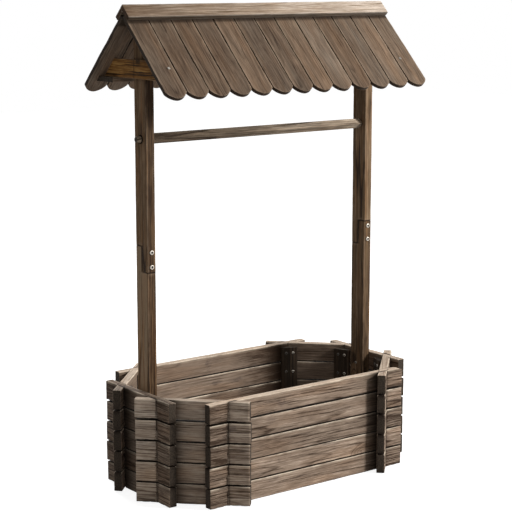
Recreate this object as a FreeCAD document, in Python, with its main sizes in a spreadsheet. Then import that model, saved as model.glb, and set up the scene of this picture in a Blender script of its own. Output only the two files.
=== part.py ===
import FreeCAD, Part
import os
import re
import Sketcher

# Sizes in mm and degrees. A row is a name, its value or formula, and what it is.
SIZES = [
    ("well_long", "696", "planter over its end walls' outer faces"),
    ("well_wide", "390", "planter over its front and back walls' outer faces"),
    ("corner_cut", "114", "how far the slanting walls cut each corner, both ways"),
    ("board_thick", "20", "thickness of a wall board"),
    ("board_high", "47", "height of a wall board"),
    ("course_pitch", "48.2", "height from one course to the next"),
    ("run_past", "50", "length of a board's end beyond the outer corner"),
    ("notch_slack", "0.1", "room on each side of a board in its neighbour's notch"),
    ("batten_face", "42", "width of a corner batten's face"),
    ("batten_deep", "17", "corner batten's depth, from its face to the corner"),
    ("batten_high", "231", "height of a corner batten"),
    ("batten_screw_out", "9", "corner screws each side of a batten's middle"),
    ("screw_shank", "1.7", "radius of a wood screw's shank"),
    ("screw_long", "25", "length of a corner screw under its head"),
    ("screw_head", "3.8", "radius of a wood screw's head"),
    ("screw_head_top", "2.5", "radius of the head's flat top"),
    ("screw_head_high", "1.6", "height of a wood screw's head"),
    ("hole_slack", "0.1", "room around a screw, nail or bolt in its hole"),
    ("post_thick", "22", "post along the planter's length"),
    ("post_deep", "46", "post across the planter"),
    ("lap_low", "513", "shoulder of a post's lower piece, from the ground"),
    ("lap_high", "571", "shoulder of a post's upper piece, from the ground"),
    ("lap_slack", "0.4", "room above the lower piece's tongue"),
    ("bolt_spread", "16.5", "lap bolts above and below the lap's middle"),
    ("bolt_shank", "3", "radius of a lap bolt's shank"),
    ("bolt_head", "6", "radius of a lap bolt's head"),
    ("bolt_head_high", "2.6", "height of a lap bolt's head"),
    ("bolt_socket", "2.6", "radius of the socket in a lap bolt's head"),
    ("bolt_socket_deep", "2", "depth of the socket in a lap bolt's head"),
    ("nut_sleeve", "4.2", "radius of a lap nut's sleeve"),
    ("nut_sleeve_long", "14", "length of a lap nut's sleeve"),
    ("post_screw_top", "210", "height of the upper screw from a post into its end wall"),
    ("post_screw_low", "64.4", "height of the lower screw from a post into its end wall"),
    ("post_screw_off", "2", "post screws off the post's middle, towards the back"),
    ("post_screw_long", "35", "length of a post screw under its head"),
    ("bar_side", "17.5", "side of the square windlass bar"),
    ("bar_high", "809", "height of the windlass bar's middle"),
    ("bar_play", "1", "room between the bar's shoulder and a post"),
    ("journal_slack", "0.05", "room around the bar's round end in a post"),
    ("journal_long", "12", "length of the bar's round end before it tapers"),
    ("journal_tip", "6.8", "radius of the round end's tip"),
    ("journal_out", "12", "the round end beyond the post's outer face"),
    ("mouth_wide", "1", "widening of the bar's hole at a post's outer face"),
    ("mouth_deep", "2", "depth of that widening"),
    ("roof_apex", "1087", "height where the outer faces of the roof boards would meet"),
    ("roof_pitch", "45", "roof slope"),
    ("roof_board_thick", "10", "thickness of a roof board"),
    ("roof_past", "34.85", "roof boards beyond the gable ties"),
    ("roof_gap", "1.9", "gap between two roof boards"),
    ("roof_board_count", "13", "roof boards in each slope"),
    ("roof_reach", "248", "from the apex down a slope to the rounded tips"),
    ("roof_tip_rise", "17.5", "height of the round at a roof board's lower end"),
    ("cap_wide", "39", "ridge cap down a slope from its peak"),
    ("cap_thick", "11", "thickness of a ridge cap board"),
    ("cap_in", "0.35", "ridge cap's ends in from the outer roof boards' edges"),
    ("tie_above_tips", "29.36", "underside of a gable tie above the roof boards' tips"),
    ("tie_high", "42", "height of a gable tie"),
    ("tie_thick", "8", "thickness of a gable tie"),
    ("tie_nail_up", "82", "nails into a tie's end, up the slope from the tips"),
    ("tie_nail_long", "30", "length of a roof nail under its head"),
    ("tie_screw_spread", "11", "screws from post to tie, above and below the tie's middle"),
    ("tie_screw_long", "30", "length of a screw from post to tie under its head"),
    ("nail_shank", "1.2", "radius of a roof nail"),
    ("nail_head", "3.6", "radius of a roof nail's head"),
    ("nail_head_high", "0.9", "height of a roof nail's head"),
    ("eave_thick", "11", "thickness of an eave batten"),
    ("eave_inner", "74", "an eave batten's inner edge from the middle"),
    ("eave_back_past", "14", "back eave batten beyond the gable ties"),
    ("ridge_batten_wide", "42", "width of a ridge batten"),
    ("ridge_batten_thick", "15", "thickness of a ridge batten"),
    ("ridge_batten_down", "28", "from the apex down the slope to a ridge batten"),
    ("bearer_wide", "40", "width of a floor bearer"),
    ("bearer_high", "28", "height of a floor bearer"),
    ("bearer_in", "136", "a floor bearer's middle in from a post's inner face"),
    ("floor_thick", "12", "thickness of a floor board"),
    ("floor_clear", "3", "room between the floor boards and the front or back wall"),
    ("floor_gap", "8", "gap between two floor boards"),
    ("floor_post_clear", "6", "room between an inner floor board's end and a post"),
    ("floor_corner_clear", "33.7", "room between an outer floor board and a slanting wall"),
    # Sizes that follow from those above
    ("half_long", "=well_long / 2", "end wall's outer face from the middle"),
    ("half_wide", "=well_wide / 2", "front wall's outer face from the middle"),
    ("long_run", "=well_long - 2 * corner_cut", "front wall from corner to corner"),
    ("end_run", "=well_wide - 2 * corner_cut", "end wall from corner to corner"),
    ("slant_run", "=corner_cut * sqrt(2)", "slanting wall from corner to corner"),
    ("half_high", "=board_high / 2", "depth of a notch"),
    ("corner_half_angle", "=45 / 2", "half the turn from one wall to the next, in degrees"),
    ("inner_corner", "=board_thick / cos(corner_half_angle)", "outer to inner corner"),
    ("batten_slant", "=batten_face / 2 * tan(corner_half_angle)", "slope of a batten's back"),
    ("post_outer", "=half_long - board_thick", "a post's outer face from the middle"),
    ("post_inner", "=post_outer - post_thick", "a post's inner face from the middle"),
    ("half_deep", "=post_deep / 2", "half a post across the planter"),
    ("lap_mid", "=(lap_low + lap_high) / 2", "height of the lap's middle"),
    ("shoulder", "=post_inner - bar_play", "the bar's shoulder from the middle"),
    ("journal", "=bar_side / 2", "radius of the bar's round end"),
    ("taper_long", "=post_outer + journal_out - shoulder - journal_long", "tapered end"),
    ("slope_drop", "=roof_board_thick / cos(roof_pitch)", "board's thickness, plumb"),
    ("under_apex", "=roof_apex - slope_drop", "where the boards' undersides would meet"),
    ("post_top", "=under_apex - half_deep * tan(roof_pitch)", "a post's top edges"),
    ("board_start", "=roof_board_thick * tan(roof_pitch)", "roof board's upper end"),
    ("tie_outer", "=post_outer + tie_thick", "a tie's outer face from the middle"),
    ("roof_long", "=2 * (tie_outer + roof_past)", "length of a slope"),
    ("roof_board_wide",
     "=(roof_long - (roof_board_count - 1) * roof_gap) / roof_board_count",
     "width of a roof board"),
    ("roof_board_pitch", "=roof_board_wide + roof_gap", "from one roof board to the next"),
    ("tip_radius", "=(roof_board_wide ^ 2 / 4 + roof_tip_rise ^ 2) / (2 * roof_tip_rise)",
     "radius of a roof board's round end"),
    ("tip_start", "=roof_reach - roof_tip_rise", "where the round end starts"),
    ("cap_long", "=roof_long - 2 * cap_in", "length of the ridge cap"),
    ("cap_lap", "=cap_thick * tan(roof_pitch)", "front cap over the back cap's edge"),
    ("cap_down", "=cap_wide - cap_lap", "cap's lower edge from the apex, down the slope"),
    ("tie_low", "=roof_apex - roof_reach * sin(roof_pitch) + tie_above_tips",
     "underside of a gable tie"),
    ("tie_nail_down", "=roof_reach - tie_nail_up", "nails down the slope from the apex"),
    ("tie_top", "=tie_low + tie_high", "top of a gable tie"),
    ("tie_low_half", "=(under_apex - tie_low) / tan(roof_pitch)", "half a tie's underside"),
    ("tie_top_half", "=(under_apex - tie_top) / tan(roof_pitch)", "half a tie's top"),
    ("tie_mid", "=tie_low + tie_high / 2", "height of a tie's middle"),
    ("tie_nail_out", "=post_outer + tie_thick / 4", "nails into a tie's end from the middle"),
    ("eave_low", "=tie_low - eave_thick", "underside of an eave batten"),
    ("eave_low_half", "=(under_apex - eave_low) / tan(roof_pitch)", "its outer edge, low"),
    ("eave_back_half", "=tie_outer + eave_back_past", "half the back eave batten"),
    ("inner_wide", "=half_wide - board_thick", "front wall's inner face from the middle"),
    ("bearer_out", "=post_inner - bearer_in", "a floor bearer's middle from the middle"),
    ("floor_edge", "=inner_wide - floor_clear", "outer edge of the floor from the middle"),
    ("floor_wide", "=(2 * floor_edge - 3 * floor_gap) / 4", "width of a floor board"),
    ("floor_pitch", "=floor_wide + floor_gap", "distance from one floor board to the next"),
    ("floor_inner_half", "=post_inner - floor_post_clear", "half an inner floor board"),
    ("slant_sum", "=half_long + half_wide - corner_cut - board_thick * sqrt(2)",
     "x + y along a slanting wall's inner face"),
    ("floor_outer_half", "=slant_sum - floor_edge - floor_corner_clear",
     "half an outer floor board"),
]
COURSES = range(1, 6)

# A wall is its side along X and Y, its turn about Z and the name of its run
LEVEL_WALLS = {
    "front": (0, -1, 0, "long_run"),
    "back": (0, 1, 180, "long_run"),
    "left": (-1, 0, -90, "end_run"),
    "right": (1, 0, 90, "end_run"),
}
SLANT_WALLS = {
    "front_left": (-1, -1, -45, "slant_run"),
    "front_right": (1, -1, 45, "slant_run"),
    "back_right": (1, 1, 135, "slant_run"),
    "back_left": (-1, 1, -135, "slant_run"),
}
SIDES = {"left": -1, "right": 1}
SLOPES = {"front": 0, "back": 180}

doc = FreeCAD.newDocument("wishing_well_planter")
sheet = doc.addObject("Spreadsheet::Sheet", "Sizes")
size_names = re.compile(r"\b(" + "|".join(row[0] for row in SIZES) + r")\b")
nodes = []


def fill_sheet():
    # A row's formula may use any name above it
    for number, (alias, value, note) in enumerate(SIZES, start=1):
        sheet.set(f"A{number}", alias)
        sheet.set(f"B{number}", value)
        sheet.set(f"C{number}", note)
        sheet.setAlias(f"B{number}", alias)
    doc.recompute()


def linked(formula):
    # The formula with each size's name pointing into the sheet
    return size_names.sub(r"Sizes.\1", str(formula))


def turn(axis, angle):
    vectors = {"X": "vector(1;0;0)", "Y": "vector(0;1;0)", "Z": "vector(0;0;1)"}
    return f"placement(vector(0;0;0);rotation({vectors[axis]};{angle}))"


def shift(x, y, z):
    return f"placement(vector({x};{y};{z});rotation(vector(0;0;1);0))"


def chain(*steps):
    return " * ".join(steps)


def solid(kind, name, place, **sizes):
    item = doc.addObject(kind, name)
    for size, formula in sizes.items():
        item.setExpression(size, linked(formula))
    item.setExpression("Placement", linked(place))
    return item


def box(name, place, length, width, height):
    return solid("Part::Box", name, place, Length=length, Width=width, Height=height)


def rod(name, place, radius, height):
    return solid("Part::Cylinder", name, place, Radius=radius, Height=height)


def taper(name, place, radius, end_radius, height):
    return solid("Part::Cone", name, place,
                 Radius1=radius, Radius2=end_radius, Height=height)


def together(name, items):
    item = doc.addObject("Part::Compound", name)
    item.Links = items
    return item


def joined(name, items):
    item = doc.addObject("Part::MultiFuse", name)
    item.Shapes = items
    return item


def cut(name, base, tool):
    item = doc.addObject("Part::Cut", name)
    item.Base = base
    item.Tool = tool
    return item


def node(item, label):
    # An item that is handed out as its own file
    item.Label = label
    nodes.append(item)
    return item


def plane(body, role):
    return next(f for f in body.Origin.OriginFeatures if f.Role == role)


def pin_point(sketch, edge, point, x, y):
    # Ties a point of the sketch to two formulas
    for kind, formula in (("DistanceX", x), ("DistanceY", y)):
        value = float(sheet.evalExpression(linked(formula)))
        index = sketch.addConstraint(
            Sketcher.Constraint(kind, -1, 1, edge, point, value))
        sketch.setExpression(f"Constraints[{index}]", linked(formula))


def start_sketch(body, name, role):
    sketch = body.newObject("Sketcher::SketchObject", name)
    sketch.AttachmentSupport = [(plane(body, role), "")]
    sketch.MapMode = "FlatFace"
    return sketch


def draw_lines(sketch, corners, closed=True):
    # Straight edges from corner to corner, each corner on its own formulas
    spots = [FreeCAD.Vector(*(float(sheet.evalExpression(linked(f))) for f in corner), 0)
             for corner in corners]
    ends = spots[1:] + spots[:1] if closed else spots[1:]
    for start, end in zip(spots, ends):
        sketch.addGeometry(Part.LineSegment(start, end))
    last = len(ends) - 1
    for edge in range(len(ends)):
        pin_point(sketch, edge, 1, *corners[edge])
        if edge < last:
            sketch.addConstraint(Sketcher.Constraint("Coincident", edge, 2, edge + 1, 1))
    if closed:
        sketch.addConstraint(Sketcher.Constraint("Coincident", last, 2, 0, 1))
    else:
        pin_point(sketch, last, 2, *corners[-1])


def padded(name, role, corners, thickness, place):
    # A straight piece cut from one outline
    body = doc.addObject("PartDesign::Body", name)
    sketch = start_sketch(body, name + "_outline", role)
    draw_lines(sketch, corners)
    pad = body.newObject("PartDesign::Pad", name + "_pad")
    pad.Profile = sketch
    pad.setExpression("Length", linked(thickness))
    body.setExpression("Placement", linked(place))
    return body


def fastener(name, place, shank, long, head, head_top, head_high):
    # Head on the surface and shank along -Z of its place; returns hole and solids
    hole = rod(name + "_hole", chain(place, turn("X", 180)),
               f"{shank} + hole_slack", long)
    body = rod(name + "_shank", chain(place, turn("X", 180)), shank, long)
    cap = taper(name + "_head", place, head, head_top, head_high)
    return hole, [body, cap]


def wood_screw(name, place, long):
    return fastener(name, place, "screw_shank", long,
                    "screw_head", "screw_head_top", "screw_head_high")


def wall_place(side_x, side_y, angle):
    # Middle of a wall's outer face on the ground, X along the wall, Y inwards
    slanting = side_x != 0 and side_y != 0
    pull = " - corner_cut / 2" if slanting else ""
    spot = shift(f"{side_x} * (half_long{pull})", f"{side_y} * (half_wide{pull})", "0")
    return chain(spot, turn("Z", angle))


def corner_places():
    # Inner corners of the planter, Y inwards and X along the batten's face
    places = {}
    for end, side_x in SIDES.items():
        for face, side_y in (("front", -1), ("back", 1)):
            spots = {
                "end": (f"{side_x} * half_long",
                        f"{side_y} * (half_wide - corner_cut)", f"{side_y} * corner_half_angle"),
                "long": (f"{side_x} * (half_long - corner_cut)", f"{side_y} * half_wide",
                         f"{side_y} * (90 - corner_half_angle)"),
            }
            for kind, (x, y, bearing) in spots.items():
                if side_x < 0:
                    bearing = f"180 - {bearing}"
                places[f"{face}_{end}_{kind}"] = chain(
                    shift(x, y, "0"), turn("Z", f"{bearing} + 90"),
                    shift("0", "inner_corner", "0"))
    return places


def lap_strip(name, wall, course, low, high):
    # Room that one wall's boards take at their crossings, over part of their height
    side_x, side_y, angle, run = wall
    base = f"{course - 1} * course_pitch"
    start = shift(f"-{run} / 2 - run_past - notch_slack", "-notch_slack", f"{base} + {low}")
    return box(name, chain(wall_place(side_x, side_y, angle), start),
               f"{run} + 2 * (run_past + notch_slack)", "board_thick + 2 * notch_slack",
               f"{high} - ({low})")


def wall_board(name, wall, course, notches, holes):
    side_x, side_y, angle, run = wall
    start = shift(f"-{run} / 2 - run_past", "0", f"{course - 1} * course_pitch")
    plank = box(name + "_plank", chain(wall_place(side_x, side_y, angle), start),
                f"{run} + 2 * run_past", "board_thick", "board_high")
    notched = cut(name + "_notched", plank, notches)
    node(cut(name, notched, holes), name)


def corner_screws(course, places):
    # Two screws in each corner batten at the course's mid height
    middle = f"{course - 1} * course_pitch + half_high"
    holes, solids = [], []
    for corner, place in places.items():
        for side in (-1, 1):
            spot = chain(place, shift(f"{side} * batten_screw_out", "batten_deep", middle),
                         turn("X", -90))
            name = f"corner_screw_{corner}_{course}_{'a' if side < 0 else 'b'}"
            hole, parts = wood_screw(name, spot, "screw_long")
            holes.append(hole)
            solids += parts
    return holes, solids


def post_screws():
    # Screws from each post's inner face into the end wall behind it
    holes, solids = [], []
    for side, sign in SIDES.items():
        for level in ("top", "low"):
            spot = chain(shift(f"{sign} * post_inner", "post_screw_off",
                               f"post_screw_{level}"), turn("Y", -90 * sign))
            hole, parts = wood_screw(f"post_screw_{side}_{level}", spot, "post_screw_long")
            holes.append(hole)
            solids += parts
    return holes, solids


def tie_screws():
    # Screws from each post's inner face into the gable tie
    holes, solids = [], []
    for side, sign in SIDES.items():
        for level, rise in (("upper", 1), ("lower", -1)):
            spot = chain(shift(f"{sign} * post_inner", "0",
                               f"tie_mid + {rise} * tie_screw_spread"), turn("Y", -90 * sign))
            hole, parts = wood_screw(f"tie_screw_{side}_{level}", spot, "tie_screw_long")
            holes.append(hole)
            solids += parts
    return holes, solids


def slope_place(slope):
    # Apex of the roof, Y down the slope and Z inwards from the boards' outer face
    return chain(turn("Z", SLOPES[slope]), shift("0", "0", "roof_apex"),
                 turn("X", "180 + roof_pitch"))


def roof_nails():
    # Nails through the first and last roof boards into the ties' ends
    holes, solids = [], []
    for slope in SLOPES:
        for side, sign in SIDES.items():
            spot = chain(slope_place(slope),
                         shift(f"{sign} * tie_nail_out", "tie_nail_down", "0"),
                         turn("X", 180))
            hole, parts = fastener(f"roof_nail_{slope}_{side}", spot, "nail_shank",
                                   "tie_nail_long", "nail_head", "nail_head",
                                   "nail_head_high")
            holes.append(hole)
            solids += parts
    return holes, solids


def lap_bolts():
    # A socket bolt from the front and a sleeve nut from the back, at each lap
    holes, solids = [], []
    for side, sign in SIDES.items():
        middle = f"{sign} * (post_inner + post_thick / 2)"
        for level, rise in (("upper", 1), ("lower", -1)):
            name = f"lap_bolt_{side}_{level}"
            height = f"lap_mid + {rise} * bolt_spread"
            front = chain(shift(middle, "-half_deep", height), turn("X", 90))
            back = chain(shift(middle, "half_deep", height), turn("X", -90))
            into = turn("X", 180)
            holes.append(rod(name + "_hole", chain(front, into),
                             "nut_sleeve + hole_slack", "post_deep"))
            disc = rod(name + "_disc", front, "bolt_head", "bolt_head_high")
            shank = rod(name + "_shank", chain(front, into), "bolt_shank",
                        "post_deep - nut_sleeve_long")
            socket = rod(name + "_socket",
                         chain(front, shift("0", "0", "bolt_head_high - bolt_socket_deep")),
                         "bolt_socket", "bolt_head_high")
            whole = joined(name + "_whole", [disc, shank])
            solids.append(cut(name, whole, socket))
            cap = rod(name + "_nut_cap", back, "bolt_head", "bolt_head_high")
            sleeve = rod(name + "_nut_sleeve", chain(back, into), "nut_sleeve",
                         "nut_sleeve_long")
            solids.append(joined(name + "_nut", [cap, sleeve]))
    return holes, solids


def bar_holes():
    # Bearing holes for the windlass bar, with worn mouths on the outer faces
    reach = shift("-post_outer", "0", "bar_high")
    items = [rod("bar_hole", chain(reach, turn("Y", 90)),
                 "journal + journal_slack", "2 * post_outer")]
    for side, sign in SIDES.items():
        spot = chain(shift(f"{sign} * post_outer", "0", "bar_high"),
                     turn("Y", -90 * sign))
        items.append(taper(f"bar_mouth_{side}", spot, "journal + journal_slack + mouth_wide",
                           "journal + journal_slack", "mouth_deep"))
    return joined("bar_holes", items)


def windlass_bar():
    # Square bar on its edge, with a round end in each post
    square = box("bar_square", chain(shift("-shoulder", "0", "bar_high"), turn("X", 45),
                                     shift("0", "-bar_side / 2", "-bar_side / 2")),
                 "2 * shoulder", "bar_side", "bar_side")
    items = [square]
    for side, sign in SIDES.items():
        spot = chain(shift(f"{sign} * shoulder", "0", "bar_high"), turn("Y", 90 * sign))
        items.append(rod(f"bar_journal_{side}", spot, "journal", "journal_long"))
        end = chain(spot, shift("0", "0", "journal_long"))
        items.append(taper(f"bar_end_{side}", end, "journal", "journal_tip", "taper_long"))
    node(joined("windlass_bar", items), "windlass_bar")


def posts(holes):
    # Each post is two lengths joined by a half lap; the left laps the other way round
    for side, sign in SIDES.items():
        start = "-post_outer" if sign < 0 else "post_inner"
        place = shift(start, "0", "0")
        flip = sign
        lower = [(f"{flip} * half_deep", "0"), (f"{-flip} * half_deep", "0"),
                 (f"{-flip} * half_deep", "lap_high - lap_slack"), ("0", "lap_high - lap_slack"),
                 ("0", "lap_low"), (f"{flip} * half_deep", "lap_low")]
        upper = [(f"{flip} * half_deep", "lap_low"), ("0", "lap_low"), ("0", "lap_high"),
                 (f"{-flip} * half_deep", "lap_high"), (f"{-flip} * half_deep", "post_top"),
                 ("0", "under_apex"), (f"{flip} * half_deep", "post_top")]
        for level, corners in (("lower", lower), ("upper", upper)):
            name = f"post_{side}_{level}"
            stock = padded(name + "_stock", "YZ_Plane", corners, "post_thick", place)
            node(cut(name, stock, holes), name)


def corner_battens(places, holes):
    # Upright battens whose backs are planed to the planter's corners
    battens = []
    for corner, place in places.items():
        name = f"corner_batten_{corner}"
        corners = [("0", "0"), ("batten_face / 2", "batten_slant"),
                   ("batten_face / 2", "batten_deep"), ("-batten_face / 2", "batten_deep"),
                   ("-batten_face / 2", "batten_slant")]
        battens.append(padded(name, "XY_Plane", corners, "batten_high", place))
    group = together("corner_batten_stock", battens)
    node(cut("corner_battens", group, holes), "corner_battens")


def roof_slope(slope, holes):
    # Thirteen alike boards, square at the ridge and rounded at the eave
    name = f"roof_boards_{slope}"
    body = doc.addObject("PartDesign::Body", name + "_stock")
    sketch = start_sketch(body, name + "_outline", "XY_Plane")
    left, right = "-roof_long / 2", "-roof_long / 2 + roof_board_wide"
    draw_lines(sketch, [(right, "tip_start"), (right, "board_start"),
                        (left, "board_start"), (left, "tip_start")], closed=False)
    radius = float(sheet.evalExpression(linked("tip_radius")))
    middle_x = float(sheet.evalExpression(linked(f"{left} + roof_board_wide / 2")))
    middle_y = float(sheet.evalExpression(linked("roof_reach - tip_radius")))
    edge = sketch.GeometryCount - 1
    start = sketch.Geometry[0].StartPoint
    end = sketch.Geometry[edge].EndPoint
    tip = FreeCAD.Vector(middle_x, middle_y + radius, 0)
    arc = sketch.addGeometry(Part.Arc(start, tip, end))
    sketch.addConstraint(Sketcher.Constraint("Coincident", 0, 1, arc, 1))
    sketch.addConstraint(Sketcher.Constraint("Coincident", edge, 2, arc, 2))
    index = sketch.addConstraint(Sketcher.Constraint("Radius", arc, radius))
    sketch.setExpression(f"Constraints[{index}]", linked("tip_radius"))
    pad = body.newObject("PartDesign::Pad", name + "_pad")
    pad.Profile = sketch
    pad.setExpression("Length", linked("roof_board_thick"))
    row = body.newObject("PartDesign::LinearPattern", name + "_row")
    row.Originals = [pad]
    row.Direction = (plane(body, "X_Axis"), [""])
    row.setExpression("Length", linked("(roof_board_count - 1) * roof_board_pitch"))
    row.setExpression("Occurrences", linked("roof_board_count"))
    body.Tip = row
    body.setExpression("Placement", linked(slope_place(slope)))
    node(cut(name, body, holes), name)


def ridge_cap():
    # Two boards along the ridge; the front one laps over the back one's edge
    for slope in SLOPES:
        over = "cap_lap" if slope == "front" else "0"
        start = shift("-cap_long / 2", f"-({over})", "-cap_thick")
        node(box(f"ridge_cap_{slope}", chain(slope_place(slope), start),
                 "cap_long", f"cap_down + {over}", "cap_thick"), f"ridge_cap_{slope}")


def gable_ties(holes):
    # Cross pieces on the posts' outer faces, ends cut to the roof's slope
    for side, sign in SIDES.items():
        corners = [("-tie_low_half", "tie_low"), ("tie_low_half", "tie_low"),
                   ("tie_top_half", "tie_top"), ("-tie_top_half", "tie_top")]
        start = "-tie_outer" if sign < 0 else "post_outer"
        name = f"gable_tie_{side}"
        stock = padded(name + "_stock", "YZ_Plane", corners, "tie_thick",
                       shift(start, "0", "0"))
        node(cut(name, stock, holes), name)


def roof_battens():
    # Flat battens at the eaves and under the ridge, which the roof boards are fixed to
    halves = {"front": "post_inner", "back": "eave_back_half"}
    for slope, sign in (("front", -1), ("back", 1)):
        half = halves[slope]
        corners = [(f"{sign} * eave_inner", "eave_low"),
                   (f"{sign} * eave_low_half", "eave_low"),
                   (f"{sign} * tie_low_half", "tie_low"), (f"{sign} * eave_inner", "tie_low")]
        name = f"eave_batten_{slope}"
        node(padded(name, "YZ_Plane", corners, f"2 * {half}", shift(f"-{half}", "0", "0")),
             name)
        start = shift("-post_inner", "ridge_batten_down", "roof_board_thick")
        name = f"ridge_batten_{slope}"
        node(box(name, chain(slope_place(slope), start), "2 * post_inner",
                 "ridge_batten_wide", "ridge_batten_thick"), name)


def floor():
    # Slats on two bearers that stand on the ground between the walls
    bearers = []
    for side, sign in SIDES.items():
        start = shift(f"{sign} * bearer_out - bearer_wide / 2", "-inner_wide", "0")
        bearers.append(box(f"bearer_{side}", start, "bearer_wide", "2 * inner_wide",
                           "bearer_high"))
    node(together("floor_bearers", bearers), "floor_bearers")
    boards = []
    for number, (step, half) in enumerate([
            (-1.5, "floor_outer_half"), (-0.5, "floor_inner_half"),
            (0.5, "floor_inner_half"), (1.5, "floor_outer_half")], start=1):
        start = shift(f"-{half}", f"{step} * floor_pitch - floor_wide / 2", "bearer_high")
        boards.append(box(f"floor_board_{number}", start, f"2 * {half}", "floor_wide",
                          "floor_thick"))
    node(together("floor_boards", boards), "floor_boards")


def planter_walls(places, extra_holes):
    # Five courses of eight boards, halved into one another at the corners
    all_holes, all_screws = [], []
    for course in COURSES:
        slant = [lap_strip(f"low_{name}_{course}", wall, course, "-notch_slack", "half_high")
                 for name, wall in SLANT_WALLS.items()]
        level = [lap_strip(f"high_{name}_{course}", wall, course, "half_high",
                           "board_high + notch_slack")
                 for name, wall in LEVEL_WALLS.items()]
        from_below = together(f"notches_low_{course}", slant)
        from_above = together(f"notches_high_{course}", level)
        holes, screws = corner_screws(course, places)
        tools = together(f"wall_holes_{course}", holes + extra_holes)
        for notches, walls in ((from_below, LEVEL_WALLS), (from_above, SLANT_WALLS)):
            for name, wall in walls.items():
                wall_board(f"wall_{name}_board_{course}", wall, course, notches, tools)
        all_holes += holes
        all_screws.append(joined(f"corner_screws_{course}", screws))
    corner_battens(places, together("corner_holes", all_holes))
    return all_screws


def check_and_export():
    doc.recompute()
    for item in doc.Objects:
        if "Invalid" in item.State or "Error" in item.State:
            raise RuntimeError(f"{item.Name}: {item.State}")
    for item in nodes:
        if item.Shape.isNull() or not item.Shape.isValid():
            raise RuntimeError(f"{item.Label}: bad shape")
    os.makedirs("parts", exist_ok=True)
    for item in nodes:
        item.Shape.exportStep(f"parts/{item.Label}.step")
        print(item.Label, len(item.Shape.Solids), round(item.Shape.Volume))
    print(len(nodes), "nodes")


fill_sheet()
corners = corner_places()
wall_screw_holes, wall_screws = post_screws()
screws = planter_walls(corners, wall_screw_holes)
tie_holes, tie_screw_solids = tie_screws()
nail_holes, nails = roof_nails()
bolt_holes, bolts = lap_bolts()
posts(together("post_holes",
               wall_screw_holes + tie_holes + bolt_holes + [bar_holes()]))
windlass_bar()
gable_ties(together("tie_holes", tie_holes + nail_holes))
for slope in SLOPES:
    roof_slope(slope, together(f"roof_holes_{slope}", nail_holes))
ridge_cap()
roof_battens()
floor()
node(together("lap_bolts", bolts), "lap_bolts")
node(together("wood_screws", screws + [joined("other_screws",
                                              wall_screws + tie_screw_solids + nails)]),
     "wood_screws")
check_and_export()
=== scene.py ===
import math
import bpy
import numpy as np
from mathutils import Matrix, Vector


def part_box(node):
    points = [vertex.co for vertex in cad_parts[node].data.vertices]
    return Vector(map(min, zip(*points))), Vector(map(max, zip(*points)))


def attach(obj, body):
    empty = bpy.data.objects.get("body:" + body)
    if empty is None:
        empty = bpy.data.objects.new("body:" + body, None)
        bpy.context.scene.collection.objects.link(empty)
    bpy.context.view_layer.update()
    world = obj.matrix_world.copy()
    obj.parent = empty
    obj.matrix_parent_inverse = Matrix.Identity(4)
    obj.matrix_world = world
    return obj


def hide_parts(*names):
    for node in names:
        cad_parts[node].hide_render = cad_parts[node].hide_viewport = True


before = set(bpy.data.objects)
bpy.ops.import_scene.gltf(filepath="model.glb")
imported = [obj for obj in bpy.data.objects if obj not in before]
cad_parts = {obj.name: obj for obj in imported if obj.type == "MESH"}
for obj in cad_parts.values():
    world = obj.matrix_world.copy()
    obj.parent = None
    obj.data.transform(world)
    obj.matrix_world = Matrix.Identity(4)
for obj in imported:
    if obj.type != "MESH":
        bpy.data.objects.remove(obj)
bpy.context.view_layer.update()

scene = bpy.context.scene
mm = 0.001                                        # shapes are worked out in millimetres
fullTurn = 2 * math.pi
print("frame loaded:", len(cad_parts), "nodes")


# each kind of piece draws random numbers of its own, the same in every run
diceKinds = dict(walls=1, posts=2, windlass=3, roofFront=4, roofBack=5, ridgeCaps=6, gableTies=7,
                 cornerBattens=8, eaveBattens=9, ridgeBattens=10, bearers=11, slats=12, screws=13)


def dice(kind, *number):
    return np.random.default_rng([41, diceKinds[kind], *number])


# a smooth line that wanders between -1 and 1: four sines, each shorter and lower than the one before
def wander(places, rng, wave):
    total = np.zeros_like(places, dtype=float)
    for share, cut in ((0.5, 1.0), (0.28, 0.43), (0.15, 0.19), (0.07, 0.083)):
        total += share * np.sin(places * fullTurn / (wave * cut) + rng.uniform(0, fullTurn))
    return total


# the same line between 0 and a height
def waver(places, rng, height, wave):
    return height * (1 + wander(places, rng, wave)) / 2


# a size that comes and goes by a share of itself
def unevenly(places, rng, size, share, wave):
    return size * (1 + share * wander(places, rng, wave))


# a smooth random field from 0 to 1: random values on a square lattice,
# blended between its points by 3t^2 - 2t^3
def cloudField(u, v, rng):
    size = 61
    table = rng.random((size, size))
    iu, iv = np.floor(u).astype(int), np.floor(v).astype(int)
    fu, fv = u - iu, v - iv
    fu, fv = fu * fu * (3 - 2 * fu), fv * fv * (3 - 2 * fv)
    a, b = table[iu % size, iv % size], table[(iu + 1) % size, iv % size]
    c, d = table[iu % size, (iv + 1) % size], table[(iu + 1) % size, (iv + 1) % size]
    return (a * (1 - fu) + b * fu) * (1 - fv) + (c * (1 - fu) + d * fu) * fv


def zeroToOne(values):
    return np.clip(values, 0, 1)


arcEndMark, faintMark = 0.7, 0.25                 # the edge mark: 1 on a rounded edge, less at its sides


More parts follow.
